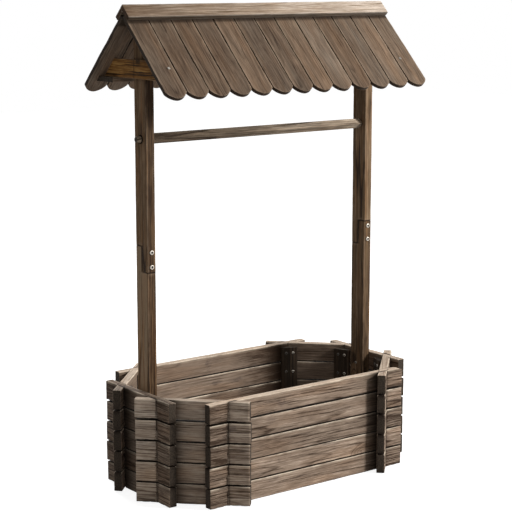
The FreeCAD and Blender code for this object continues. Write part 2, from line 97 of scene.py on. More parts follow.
# one closed ring of a rectangle with rounded corners, as the rule for each point of it:
# a point lies a share of the way from the end of one corner's arc to the start of the next one's
def ringRule(arcSteps, sideA, sideB):
    quarter = math.pi / 2
    rows = []
    for corner in range(4):
        for step in range(arcSteps + 1):
            angle = quarter * (corner - 1 + step / arcSteps)
            rows.append((corner, angle, corner, angle, 0.0, 1.0 if 0 < step < arcSteps else arcEndMark))
        for share in (sideB if corner % 2 == 0 else sideA):
            faint = faintMark if min(share, 1 - share) < 0.09 else 0.0
            rows.append((corner, quarter * corner, (corner + 1) % 4, quarter * corner, share, faint))
    fromCorner, fromAngle, toCorner, toAngle, share, edge = np.array(rows).T
    return dict(fromCorner=fromCorner.astype(int), fromAngle=fromAngle, toCorner=toCorner.astype(int),
                toAngle=toAngle, share=share, edge=edge)


cornerSideA = np.array([1, 1, -1, -1])
cornerSideB = np.array([-1, 1, 1, -1])
barRule = ringRule(3, (0.04, 0.16, 0.34, 0.5, 0.66, 0.84, 0.96), (0.06, 0.3, 0.5, 0.7, 0.94))


# a bar: the rounded rectangle carried along stations, its size and corner radius given for each station;
# place along the bar = station + lean * (its own a, or |b|), so that an end or a notch can run at a slant
def carriedBar(stations, aRange, bRange, radius, rule, lean=0.0, leanOn="a", inset=0.0):
    mostRound = 0.98                              # the share of half a side that a corner may take up

    def column(values):
        return (np.zeros(len(stations)) + values).reshape(-1, 1)

    def middleAndHalf(low, high):
        low, high = column(low), column(high)
        return (low + high) / 2, np.maximum((high - low) / 2 - column(inset), 1e-5)
    aMid, aHalf = middleAndHalf(*aRange)
    bMid, bHalf = middleAndHalf(*bRange)
    arc = np.minimum(np.minimum(column(radius), aHalf * mostRound), bHalf * mostRound)

    def cornerPoint(corner, angle):
        return np.stack([aMid + cornerSideA[corner] * (aHalf - arc) + arc * np.cos(angle),
                         bMid + cornerSideB[corner] * (bHalf - arc) + arc * np.sin(angle)])
    start = cornerPoint(rule["fromCorner"], rule["fromAngle"])
    a, b = start + (cornerPoint(rule["toCorner"], rule["toAngle"]) - start) * rule["share"]
    along = column(stations) + column(lean) * (a if leanOn == "a" else np.abs(b))
    return closedTube(np.stack([along, a, b], axis=-1), np.broadcast_to(rule["edge"], a.shape))


# a tube of rings closed at both ends by a smaller ring and one point in the middle
def closedTube(points, edge):
    n, m = points.shape[:2]                       # rings, and points round each
    first, last = 0, (n - 1) * m
    inFirst, inLast, midFirst, midLast = n * m, (n + 1) * m, (n + 2) * m, (n + 2) * m + 1
    middles = [points[0].mean(axis=0), points[-1].mean(axis=0)]
    smaller = 0.55
    inner = [middle + (ring - middle) * smaller for ring, middle in zip((points[0], points[-1]), middles)]
    verts = np.concatenate([points.reshape(-1, 3), *inner, middles])
    j = np.arange(m)
    jn = (j + 1) % m
    i = np.arange(n - 1)[:, None] * m
    quads = [np.stack([i + j, i + jn, i + m + jn, i + m + j], axis=-1).reshape(-1, 4),
             np.stack([inFirst + j, inFirst + jn, jn, j], axis=-1),
             np.stack([last + j, last + jn, inLast + jn, inLast + j], axis=-1)]
    tris = [np.stack([np.full(m, midFirst), inFirst + jn, inFirst + j], axis=-1),
            np.stack([np.full(m, midLast), inLast + j, inLast + jn], axis=-1)]
    endFace = np.zeros(len(verts))
    endFace[n * m:] = 1.0
    allEdge = np.concatenate([edge.reshape(-1), np.zeros(2 * m + 2)])
    for start in (first, last):
        endFace[start:start + m] = 1.0
        allEdge[start:start + m] = faintMark
    return dict(verts=verts, quads=np.concatenate(quads), tris=np.concatenate(tris), edge=allEdge,
                endFace=endFace, rings=(n, m))


# gives each ring's value to all of the ring's points, and one value to the points that close the ends
def perRing(part, values, atEnds):
    m = part["rings"][1]
    return np.concatenate([np.repeat(values, m), np.full(2 * m + 2, atEnds)])


# stations from start to end about a step apart, with three close ones at each end that round the end's edge;
# the cut-back there follows a quarter circle: r - sqrt(r^2 - (r - d)^2)
def roundedStations(start, end, step, roundness, extra=()):
    inner = np.linspace(start + roundness, end - roundness, max(2, int(round((end - start) / step))))
    second = 0.3 * roundness
    places = np.concatenate([[start, start + second], inner, [end - second, end], extra])
    places = np.unique(np.round(places, 7))
    depth = np.minimum(np.minimum(places - start, end - places), roundness)
    inset = roundness - np.sqrt(np.maximum(roundness ** 2 - (roundness - depth) ** 2, 0))
    return places, inset


# a flat section of any shape with its corners rounded off: each corner is a quadratic curve between two points
# a cut away from it, and the sides are divided evenly; corners run anticlockwise seen against the bar's length
def roundedSection(corners, cut, curveSteps=3, sideSteps=4):
    corners = np.array(corners, dtype=float)
    ring, edge = [], []
    for k, here in enumerate(corners):
        before, after = corners[k - 1], corners[(k + 1) % len(corners)]
        inward, outward = before - here, after - here
        start = here + inward / np.linalg.norm(inward) * cut
        end = here + outward / np.linalg.norm(outward) * cut
        t = np.linspace(0, 1, curveSteps + 1)[:, None]
        ring.append((1 - t) ** 2 * start + 2 * t * (1 - t) * here + t ** 2 * end)
        edge.append(np.array([arcEndMark] + [1.0] * (curveSteps - 1) + [arcEndMark]))
        away = after - outward / np.linalg.norm(outward) * cut
        share = np.linspace(0, 1, sideSteps + 2)[1:-1, None]
        ring.append(end + (away - end) * share)
        edge.append(np.where((share[:, 0] < 0.12) | (share[:, 0] > 0.88), faintMark, 0.0))
    return np.concatenate(ring), np.concatenate(edge)


# the section carried along stations, drawn in towards its own middle where the ends are rounded and by a trim:
# size * (1 - (inset + trim) / size)
def carriedSection(stations, section, edge, inset, trim):
    middle = section.mean(axis=0)
    size = np.abs(section - middle).max()
    shrink = 1 - (inset + trim) / size
    flat = middle + (section - middle)[None] * shrink[:, None, None]
    along = np.broadcast_to(stations[:, None, None], flat.shape[:2] + (1,))
    return closedTube(np.concatenate([along, flat], axis=-1), np.broadcast_to(edge, flat.shape[:2]))


# adds what the wood materials read: where a point is in its board's own wood, so how far from the pith,
# and the board's tone, warmth, and its grime and painted shade
def woodMarks(part, rng, pith, tone, warmth):
    pithBelow, pithBeside = pith
    fromPith = rng.uniform(-3000, 3000), rng.uniform(*pithBeside) * rng.choice([-1, 1]), rng.uniform(*pithBelow)
    part["grainAt"] = (part["verts"] + np.array(fromPith)) * mm
    plain = np.zeros(len(part["verts"]))
    part["boardTone"] = np.stack([plain + tone, plain + warmth, part.get("grime", plain)], axis=-1)
    return part


# puts a part's axes in another order; the grain keeps running along the board
def reordered(part, order):
    part["verts"] = part["verts"][:, order]
    return part


def moved(part, matrix):
    rotation = np.array(matrix.to_3x3())
    part["verts"] = part["verts"] @ rotation.T + np.array(matrix.translation)
    return part


def flipped(part):
    part["quads"], part["tris"] = part["quads"][:, ::-1], part["tris"][:, ::-1]
    return part


# a place whose x, y and z run in three given directions
def placed(origin, first, second, third):
    return Matrix.Translation(origin) @ Matrix((first, second, third)).transposed().to_4x4()


# several parts as one mesh, each with its own marks
def joinedParts(parts):
    joined = {key: np.concatenate([part[key] for part in parts])
              for key in ("verts", "edge", "endFace", "grainAt", "boardTone")}
    starts = np.cumsum([0] + [len(part["verts"]) for part in parts[:-1]])
    for key in ("quads", "tris"):
        joined[key] = np.concatenate([part[key] + start for part, start in zip(parts, starts)])
    return joined


# the lowest and the highest corner of a CAD node, in millimetres
def boxOf(name):
    low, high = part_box(name)
    return [v / mm for v in low], [v / mm for v in high]


markKinds = dict(edge="FLOAT", endFace="FLOAT", torn="FLOAT", grainAt="FLOAT_VECTOR", boardTone="FLOAT_VECTOR")
sharpWood, sharpSteel = math.radians(38), math.radians(50)       # edges steeper than this are shown sharp


def makePiece(name, part, material, node, body="planter_frame", sharp=sharpWood):
    mesh = bpy.data.meshes.new(name)
    quads, tris = part["quads"], part["tris"]
    mesh.vertices.add(len(part["verts"]))
    mesh.vertices.foreach_set("co", (part["verts"] * mm).astype(np.float32).ravel())
    mesh.loops.add(len(quads) * 4 + len(tris) * 3)
    mesh.loops.foreach_set("vertex_index", np.concatenate([quads.ravel(), tris.ravel()]).astype(np.int32))
    mesh.polygons.add(len(quads) + len(tris))
    starts = np.concatenate([np.arange(len(quads)) * 4, len(quads) * 4 + np.arange(len(tris)) * 3])
    mesh.polygons.foreach_set("loop_start", starts.astype(np.int32))
    mesh.update(calc_edges=True)
    mesh.polygons.foreach_set("use_smooth", np.ones(len(mesh.polygons), dtype=bool))
    mesh.set_sharp_from_angle(angle=sharp)
    for key, kind in markKinds.items():
        if key in part:
            layer = mesh.attributes.new(key, kind, "POINT")
            field = "value" if kind == "FLOAT" else "vector"
            layer.data.foreach_set(field, part[key].astype(np.float32).ravel())
    piece = bpy.data.objects.new(name, mesh)
    scene.collection.objects.link(piece)
    mesh.materials.append(material)
    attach(piece, body)
    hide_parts(node)
    return piece


# shader helpers

def addNode(tree, kind, **settings):
    node = tree.nodes.new(kind)
    for key, value in settings.items():
        setattr(node, key, value)
    return node


def feed(tree, socket, value):
    if isinstance(value, bpy.types.NodeSocket):
        tree.links.new(value, socket)
    else:
        socket.default_value = value


def calc(tree, operation, *values, clamp=False):
    node = addNode(tree, "ShaderNodeMath", operation=operation, use_clamp=clamp)
    for socket, value in zip(node.inputs, values):
        feed(tree, socket, value)
    return node.outputs[0]


def vectorCalc(tree, operation, *values):
    node = addNode(tree, "ShaderNodeVectorMath", operation=operation)
    for socket, value in zip(node.inputs, values):
        feed(tree, socket, value)
    return node.outputs["Value" if operation == "LENGTH" else "Vector"]


def splitVector(tree, vector):
    node = addNode(tree, "ShaderNodeSeparateXYZ")
    feed(tree, node.inputs[0], vector)
    return node.outputs


def blendColour(tree, factor, first, second, kind="MIX"):
    node = addNode(tree, "ShaderNodeMix", data_type="RGBA", blend_type=kind)
    feed(tree, node.inputs["Factor"], factor)
    feed(tree, node.inputs[6], first)
    feed(tree, node.inputs[7], second)
    return node.outputs[2]


# the colour multiplied by a tint, as far as the share says
def tinted(tree, share, colour, tint):
    return blendColour(tree, share, colour, blendColour(tree, 1.0, colour, (*tint, 1), "MULTIPLY"))


def span(tree, value, fromLow, fromHigh, toLow=0.0, toHigh=1.0, smooth=False):
    node = addNode(tree, "ShaderNodeMapRange", interpolation_type="SMOOTHSTEP" if smooth else "LINEAR")
    for socket, item in zip(node.inputs, (value, fromLow, fromHigh, toLow, toHigh)):
        feed(tree, socket, item)
    return node.outputs[0]


def noise(tree, vector, scale=1.0, detail=2.0, roughness=0.5, distortion=0.0, output="Fac"):
    node = addNode(tree, "ShaderNodeTexNoise")
    for title, value in (("Vector", vector), ("Scale", scale), ("Detail", detail), ("Roughness", roughness),
                         ("Distortion", distortion)):
        feed(tree, node.inputs[title], value)
    return node.outputs[output]


def markNode(tree, name, output="Fac"):
    return addNode(tree, "ShaderNodeAttribute", attribute_name=name).outputs[output]


def stretched(tree, vector, along, across):
    return vectorCalc(tree, "MULTIPLY", vector, (along, across, across))


# a group whose inputs are numbers with a plain value, or a vector where that is None,
# and whose outputs are numbers
def newGroup(name, inputs, outputs):
    tree = bpy.data.node_groups.new(name, "ShaderNodeTree")
    for title, value in inputs.items():
        kind = "NodeSocketVector" if value is None else "NodeSocketFloat"
        socket = tree.interface.new_socket(name=title, in_out="INPUT", socket_type=kind)
        if value is not None:
            socket.default_value = value
    for title in outputs:
        tree.interface.new_socket(name=title, in_out="OUTPUT", socket_type="NodeSocketFloat")
    return tree, addNode(tree, "NodeGroupInput"), addNode(tree, "NodeGroupOutput")


def placeGroup(tree, group, values):
    node = addNode(tree, "ShaderNodeGroup", node_tree=group)
    for title, value in values.items():
        feed(tree, node.inputs[title], value)
    return node.outputs


def newMaterial(name):
    material = bpy.data.materials.new(name)
    material.use_nodes = True
    return material, material.node_tree, material.node_tree.nodes["Principled BSDF"]


def linear(red, green, blue):
    def channel(value):
        value /= 255
        return value / 12.92 if value <= 0.04045 else ((value + 0.055) / 1.055) ** 2.4
    return (channel(red), channel(green), channel(blue), 1.0)


# how fine each pattern of the wood is: waves to the metre along the board, and across it
fineness = dict(sway=(4.0, 11.0), unevenness=(1.2, 55.0), ringStrength=(7.0, 45.0), streak=(2.4, 120.0),
                mottle=(9.0, 40.0), fleck=(26.0, 470.0), crack=(7.0, 290.0), smudge=(15.0, 38.0),
                wear=(22.0, 90.0), pores=(260.0, 420.0))
# where each pattern sets in: the values between which it grows, and its share at both
onset = dict(late=(0.68, 0.92, 0.0, 1.0), early=(0.92, 1.0, 1.0, 0.0), ringStrength=(0.36, 0.62, 0.15, 1.0),
             crack=(0.56, 0.66, 0.0, 1.0), crackPlace=(0.38, 0.54, 0.15, 1.0), smudge=(0.58, 0.74, 0.0, 1.0),
             wear=(0.38, 0.68, 0.15, 1.0), swing=(0.3, 0.7, -0.5, 0.5), pores=(0.3, 0.7, 0.0, 1.0),
             endGrain=(0.35, 0.95, 0.0, 1.0))
redPlaces, greyPlaces = (0.5, 0.68), (0.32, 0.5)
relief = dict(ring=-0.4, fleck=0.9, crack=0.8)    # how high flecks stand, and how deep rings and cracks lie
knots = dict(cells=(8.0, 0.0, 20.0), reach=(0.03, 0.42), heart=(0.035, 0.075), push=0.016)   # push: in metres
pithDrift = 0.022                                 # how much further the pith is, for each metre along the board


# growth rings, streaks, flecks, drying cracks and knots of fir, from where a point lies in its board:
# a ring is a thin line at even steps of the distance to a pith line beside the board,
# pushed about by slow noise
def makeFirGrain():
    tree, source, sink = newGroup(
        "fir grain", {"At": None, "Ring Gap": 0.0055, "Sway": 0.002, "Knots": 0.1, "Band": 1.0},
        ("Ring", "Streak", "Mottle", "Fleck", "Crack", "Smudge", "Knot", "Height"))
    at = source.outputs["At"]

    def grainNoise(pattern, **settings):
        return noise(tree, stretched(tree, at, *fineness[pattern]), **settings)
    push = vectorCalc(tree, "SUBTRACT", grainNoise("sway", output="Color"), (0.5, 0.5, 0.5))
    push = vectorCalc(tree, "MULTIPLY", push, (0.0, 4.0, 4.0))
    swayed = addNode(tree, "ShaderNodeVectorMath", operation="SCALE")
    feed(tree, swayed.inputs[0], push)
    feed(tree, swayed.inputs["Scale"], source.outputs["Sway"])
    x, y, z = splitVector(tree, vectorCalc(tree, "ADD", at, swayed.outputs["Vector"]))
    # knots: cells of a stretched lattice, most of them empty; the rings bulge round a knot
    cell = addNode(tree, "ShaderNodeTexVoronoi", feature="F1")
    feed(tree, cell.inputs["Vector"], vectorCalc(tree, "MULTIPLY", at, knots["cells"]))
    cell.inputs["Scale"].default_value = 1.0
    chance = addNode(tree, "ShaderNodeSeparateColor")
    feed(tree, chance.inputs[0], cell.outputs["Color"])
    there = calc(tree, "LESS_THAN", chance.outputs[0], source.outputs["Knots"])
    distance = cell.outputs["Distance"]
    around, knot = [calc(tree, "MULTIPLY", there, span(tree, distance, *knots[part], 1.0, 0.0, smooth=True))
                    for part in ("reach", "heart")]
    radius = calc(tree, "SQRT", calc(tree, "ADD", calc(tree, "MULTIPLY", y, y), calc(tree, "MULTIPLY", z, z)))
    radius = calc(tree, "ADD", radius, calc(tree, "MULTIPLY", x, pithDrift))
    radius = calc(tree, "ADD", radius, calc(tree, "MULTIPLY", around, knots["push"]))
    # a ring darkens slowly and ends sharply, and its strength comes and goes
    turnsOut = calc(tree, "DIVIDE", radius, source.outputs["Ring Gap"])
    pushedOut = calc(tree, "MULTIPLY", grainNoise("unevenness", detail=1.0), 1.4)
    phase = calc(tree, "FRACT", calc(tree, "ADD", turnsOut, pushedOut))
    late, early = [span(tree, phase, *onset[part], smooth=True) for part in ("late", "early")]
    strong = span(tree, grainNoise("ringStrength"), *onset["ringStrength"])
    ring = calc(tree, "MULTIPLY", calc(tree, "MULTIPLY", late, early), strong)
    wide = addNode(tree, "ShaderNodeCombineXYZ")
    wide.inputs[0].default_value = 1.0
    feed(tree, wide.inputs[1], source.outputs["Band"])
    feed(tree, wide.inputs[2], source.outputs["Band"])
    banded = vectorCalc(tree, "MULTIPLY", stretched(tree, at, *fineness["streak"]), wide.outputs[0])
    streak = noise(tree, banded, detail=3.0, roughness=0.6)
    mottle = grainNoise("mottle", detail=4.0, roughness=0.62, distortion=0.5)
    fleck = grainNoise("fleck", detail=4.0, roughness=0.72)
    crack = calc(tree, "MULTIPLY", span(tree, grainNoise("crack"), *onset["crack"]),
                 span(tree, mottle, *onset["crackPlace"]))
    blot = grainNoise("smudge", detail=3.0, roughness=0.6, distortion=0.6)
    smudge = span(tree, blot, *onset["smudge"], smooth=True)
    height = calc(tree, "ADD", calc(tree, "MULTIPLY", ring, relief["ring"]),
                  calc(tree, "MULTIPLY", fleck, relief["fleck"]))
    height = calc(tree, "SUBTRACT", height, calc(tree, "MULTIPLY", crack, relief["crack"]))
    for title, value in dict(Ring=ring, Streak=streak, Mottle=mottle, Fleck=fleck, Crack=crack, Smudge=smudge,
                             Knot=knot, Height=height).items():
        tree.links.new(value, sink.inputs[title])
    return tree


# worn arrises: the mesh's own edge mark, broken up by noise so that the wear comes and goes
def makeEdgeWear():
    tree, source, sink = newGroup("edge wear", {"At": None, "Amount": 0.5}, ("Worn",))
    broken = noise(tree, stretched(tree, source.outputs["At"], *fineness["wear"]), detail=3.0, roughness=0.65)
    strength = span(tree, broken, *onset["wear"])
    worn = calc(tree, "MULTIPLY", markNode(tree, "edge"), strength)
    tree.links.new(calc(tree, "MULTIPLY", worn, source.outputs["Amount"], clamp=True), sink.inputs["Worn"])
    return tree


firGrain = makeFirGrain()
edgeWear = makeEdgeWear()

redTint, greyTint, smudgeTint = (1.06, 0.86, 0.68), (0.88, 0.97, 1.04), (0.46, 0.46, 0.52)
bumpDistance = 0.0010


# stained and brushed fir: a ramp from the dark to the pale of the stain, thin dark ring lines,
# and grime and painted shade in the joints and corners
def stainedFir(name, look):
    material, tree, shader = newMaterial(name)
    at = markNode(tree, "grainAt", "Vector")
    tone, warmth, grime = splitVector(tree, markNode(tree, "boardTone", "Vector"))
    torn = markNode(tree, "torn")
    grain = placeGroup(tree, firGrain, {"At": at, "Ring Gap": look["ringGap"], "Sway": look["sway"],
                                        "Knots": look["knots"], "Band": look["band"]})

    def shade(part):
        return linear(*look[part])

    def weighted(title, share):
        return calc(tree, "MULTIPLY", grain[title], share)

    def swing(title, share):
        return calc(tree, "MULTIPLY", span(tree, grain[title], *onset["swing"]), share)
    light = calc(tree, "ADD", swing("Streak", look["streakShare"]), swing("Fleck", look["fleckShare"]))
    light = calc(tree, "ADD", light, swing("Mottle", look["mottleShare"]))
    light = calc(tree, "SUBTRACT", light, weighted("Ring", look["ringShare"]))
    light = calc(tree, "SUBTRACT", light, weighted("Crack", look["crackShare"]))
    light = calc(tree, "MULTIPLY", light, calc(tree, "MULTIPLY_ADD", torn, 0.5, 1.0))
    light = calc(tree, "ADD", calc(tree, "ADD", light, 0.5), tone, clamp=True)
    ramp = addNode(tree, "ShaderNodeValToRGB")
    feed(tree, ramp.inputs[0], light)
    darkStop, paleStop = ramp.color_ramp.elements
    darkStop.position, darkStop.color = 0.0, shade("dark")
    paleStop.position, paleStop.color = 1.0, shade("pale")
    ramp.color_ramp.elements.new(0.5).color = shade("middle")
    colour = ramp.outputs[0]
    # the stain leans to red-brown in some places and to grey in others, and has dark smudges
    hue = noise(tree, stretched(tree, at, *look["hueFineness"]), detail=3.0, roughness=0.6)
    redShare = calc(tree, "ADD", span(tree, hue, *redPlaces, 0.0, look["redness"]), warmth, clamp=True)
    colour = tinted(tree, redShare, colour, redTint)
    colour = tinted(tree, span(tree, hue, *greyPlaces, look["greyness"], 0.0), colour, greyTint)
    colour = tinted(tree, weighted("Smudge", look["smudges"]), colour, smudgeTint)
    colour = blendColour(tree, weighted("Knot", look["knotShare"]), colour, shade("knotColour"))
    worn = placeGroup(tree, edgeWear, {"At": at, "Amount": look["wear"]})["Worn"]
    colour = blendColour(tree, worn, colour, shade("worn"))
    # end grain is dark and porous, and grime and painted shade lie over everything
    pores = noise(tree, stretched(tree, at, *fineness["pores"]), detail=3.0)
    endColour = blendColour(tree, span(tree, pores, *onset["pores"]), shade("endDark"), shade("endLight"))
    onEnd = span(tree, markNode(tree, "endFace"), *onset["endGrain"], smooth=True)
    colour = blendColour(tree, onEnd, colour, endColour)
    colour = blendColour(tree, span(tree, grime, 0.0, 1.0, 0.0, look["grime"]), colour, shade("jointAndShadeColour"))
    tree.links.new(colour, shader.inputs["Base Color"])
    rough = calc(tree, "ADD", look["roughness"], weighted("Fleck", look["fleckRough"]))
    tree.links.new(rough, shader.inputs["Roughness"])
    shader.inputs["Specular IOR Level"].default_value = look["shine"]
    bump = addNode(tree, "ShaderNodeBump")
    bump.inputs["Strength"].default_value = look["bump"]
    bump.inputs["Distance"].default_value = bumpDistance
    height = calc(tree, "MULTIPLY", grain["Height"], calc(tree, "MULTIPLY_ADD", torn, 1.0, 1.0))
    tree.links.new(height, bump.inputs["Height"])
    tree.links.new(bump.outputs["Normal"], shader.inputs["Normal"])
    return material


wallLook = dict(
    dark=(54, 41, 31), middle=(132, 115, 100), pale=(194, 177, 159), worn=(214, 198, 177),   # the stain
    knotColour=(46, 34, 27), endDark=(36, 30, 25), endLight=(70, 60, 50), jointAndShadeColour=(22, 13, 6),
    ringGap=0.0042, sway=0.0011, knots=0.03, band=1.9,                                       # the grain's shape
    ringShare=0.36, crackShare=0.36, streakShare=0.18, fleckShare=0.42, mottleShare=0.26,    # its strength
    knotShare=0.85, smudges=0.6, wear=1.0, grime=0.95,
    hueFineness=(5.0, 30.0), redness=0.35, greyness=0.18,                # waves to the metre, and how strong
    roughness=0.62, fleckRough=0.2, shine=0.1, bump=0.55)
roofLook = dict(
    wallLook, dark=(52, 40, 31), middle=(102, 87, 73), pale=(141, 123, 106), worn=(154, 134, 114),
    sway=0.003, knots=0.04, ringShare=0.22, crackShare=0.34, streakShare=0.26, fleckShare=0.36,
    mottleShare=0.36, redness=0.4, greyness=0.7, smudges=0.35, wear=0.95, bump=0.4)
capLook = dict(
    wallLook, dark=(92, 74, 58), middle=(150, 133, 115), pale=(216, 202, 188), worn=(224, 212, 198),
    endDark=(40, 28, 20), endLight=(80, 60, 44), knots=0.0, band=2.4, ringShare=0.4, streakShare=0.26,
    redness=0.3, smudges=0.2, wear=0.6, bump=0.35)
postLook = dict(
    wallLook, dark=(43, 30, 19), middle=(104, 83, 61), pale=(152, 130, 106), worn=(156, 135, 113),
    ringGap=0.0068, knots=0.05, band=1.5, ringShare=0.62, crackShare=0.45, streakShare=0.42, fleckShare=0.40,
    mottleShare=0.30, hueFineness=(5.0, 95.0), redness=0.75, greyness=0.7, smudges=0.3, wear=0.5, bump=0.45)
barLook = dict(
    postLook, dark=(50, 40, 31), middle=(116, 102, 86), pale=(182, 166, 146), knots=0.0, band=2.0,
    redness=0.2, greyness=0.4)
tieLook = dict(
    postLook, dark=(33, 20, 9), middle=(132, 95, 51), pale=(206, 166, 106), knots=0.0, band=1.2, ringShare=0.6,
    crackShare=0.7, fleckShare=0.5, hueFineness=(5.0, 40.0), redness=0.3, greyness=0.1, smudges=0.5)
battenLook = dict(
    postLook, dark=(27, 21, 16), middle=(51, 42, 34), pale=(84, 71, 58), worn=(86, 72, 59),
    knots=0.0, wear=0.35)
floorLook = dict(wallLook, dark=(54, 42, 33), middle=(106, 89, 74), pale=(150, 132, 115), wear=0.5)

wallWood = stainedFir("stained wall wood", wallLook)
roofWood = stainedFir("stained roof wood", roofLook)
capWood = stainedFir("pale ridge wood", capLook)
postWood = stainedFir("brown post wood", postLook)
barWood = stainedFir("windlass wood", barLook)
tieWood = stainedFir("warm tie wood", tieLook)
battenWood = stainedFir("dark batten wood", battenLook)
floorWood = stainedFir("floor wood", floorLook)

zinc = dict(dull=(172, 164, 152), bright=(212, 204, 192), darkening=(34, 28, 23), fineness=900.0, smudge=(0.3, 0.7),
            roughness=(0.28, 0.48), dirtRoughness=0.3)


# plated steel; the grime and painted shade mark of a piece dulls it and takes the metal out of it
def platedSteel(name, look):
    material, tree, shader = newMaterial(name)
    grime = splitVector(tree, markNode(tree, "boardTone", "Vector"))[2]
    place = addNode(tree, "ShaderNodeTexCoord").outputs["Object"]
    smudge = noise(tree, place, scale=look["fineness"], detail=3.0)
    shine = span(tree, smudge, *look["smudge"])
    colour = blendColour(tree, shine, linear(*look["dull"]), linear(*look["bright"]))
    colour = blendColour(tree, grime, colour, linear(*look["darkening"]))
    tree.links.new(colour, shader.inputs["Base Color"])
    tree.links.new(span(tree, grime, 0.0, 0.9, 1.0, 0.0), shader.inputs["Metallic"])
    rough = calc(tree, "ADD", span(tree, smudge, *look["smudge"], *look["roughness"]),
                 calc(tree, "MULTIPLY", grime, look["dirtRoughness"]))
    tree.links.new(rough, shader.inputs["Roughness"])
    return material


zincSteel = platedSteel("zinc plated steel", zinc)
print("materials ready")


# the planter's walls: five courses of boards round an eight-sided plan, notched over each other at the corners
walls = dict(
    courses=5, thick=20.0, high=47.0, pitch=48.2,     # a board, and the rise from course to course
    halfLong=348.0, halfWide=195.0, cornerIn=57.0,    # the plan's outer faces; a slanting wall lies further in
    past=50.0, stagger=(0.1, 3.2),                    # an end's reach past the corner, and what it lacks of it
    step=4.0, topRound=(1.5, 0.35, 90), endRound=1.0,    # grid step; worn arrises: radius, its change and wave
    leanFrom=66.0, leanOver=60.0, leanEnds=(2.0, 24.0),  # where the rings start to lean, and stop at the ends
    lowGap=(0.7, 1.2), lowWaver=(0.4, 260), rough=(0.35, 70),   # the joint below a board; wavers: height, wave
    highGap=(0.05, 0.3), highWaver=(0.3, 310),        # the joint above it
    stubGap=(1.1, 22),                                # a wider joint below the ends past a corner
    faceGap=1.3, faceWaver=(0.3, 230),                # how far back the outer face lies
    faceDip=(0.45, 60, 5.5), tear=(2.2, 3.4),         # brushed hollows, torn wood at a notch: depth and size
    jointShadeHigh=0.9, mouthShade=2.0, stubShade=(0.3, 4),   # painted shade above the joint, at a notch, and past the corner
    unshadedTop=2.4,                                     # how far in from a top edge the painted shade in the joint starts
    innerEnd=165.0, innerCalm=-0.65,                  # inside: how long the painted shade at the left end is, and plainer grain
    boardTone=(-0.13, 0.08), warmth=(0, 0.15),        # the differences between boards
    pith=((-25, 25), (18, 60)))                       # where a board's pith may be, below and beside it
plainWall = dict(
    creaseShade=(0.45, 12, 0.45, 12),                      # painted shade in the left and right corner, how far it reaches
    tone=0.0, endTone=(-0.06, -0.06),                 # of the whole wall, and of its ends past the corners; partly painted light and shade, set by side
    innerShade=(-0.14, -0.14), rimLight=0.42,           # painted shade inside, at the left end and elsewhere; painted light on the top
    opened={}, chipped={})                            # a wider joint; a torn corner's length and depth
wallPlan = {  # run between the corners, turn about the upright, side of the plan, notched from below
    "front": dict(plainWall, run=468.0, turn=0, side=(0, -1), fromBelow=True,
                  creaseShade=(0.10, 8, 0.92, 36), tone=-0.03, endTone=(-0.2, -0.08), rimLight=0.5,
                  opened={5: 1.3}, chipped={5: (17.0, 5.0)}),
    "back": dict(plainWall, run=468.0, turn=180, side=(0, 1), fromBelow=True,
                 innerShade=(-0.62, -0.06), rimLight=0.36),
    "left": dict(plainWall, run=162.0, turn=-90, side=(-1, 0), fromBelow=True,
                 creaseShade=(0.95, 46, 0.8, 22), endTone=(-0.16, -0.12), rimLight=-0.04, opened={5: 0.8}),
    "right": dict(plainWall, run=162.0, turn=90, side=(1, 0), fromBelow=True),
    "front_left": dict(plainWall, run=161.2, turn=-45, side=(-1, -1), fromBelow=False,
                       creaseShade=(1.1, 27, 0.2, 10), tone=0.11, endTone=(0.16, 0.0), rimLight=0.1, opened={5: 1.5}),
    "front_right": dict(plainWall, run=161.2, turn=45, side=(1, -1), fromBelow=False,
                        endTone=(-0.1, -0.08), opened={4: 0.8}),
    "back_right": dict(plainWall, run=161.2, turn=135, side=(1, 1), fromBelow=False),
    "back_left": dict(plainWall, run=161.2, turn=-135, side=(-1, 1), fromBelow=False, rimLight=0.3),
}
boardRule = ringRule(3, (0.06, 0.2, 0.5, 0.8, 0.94),
                     (0.02, 0.05, 0.11, 0.2, 0.32, 0.44, 0.56, 0.68, 0.8, 0.89, 0.95, 0.98))


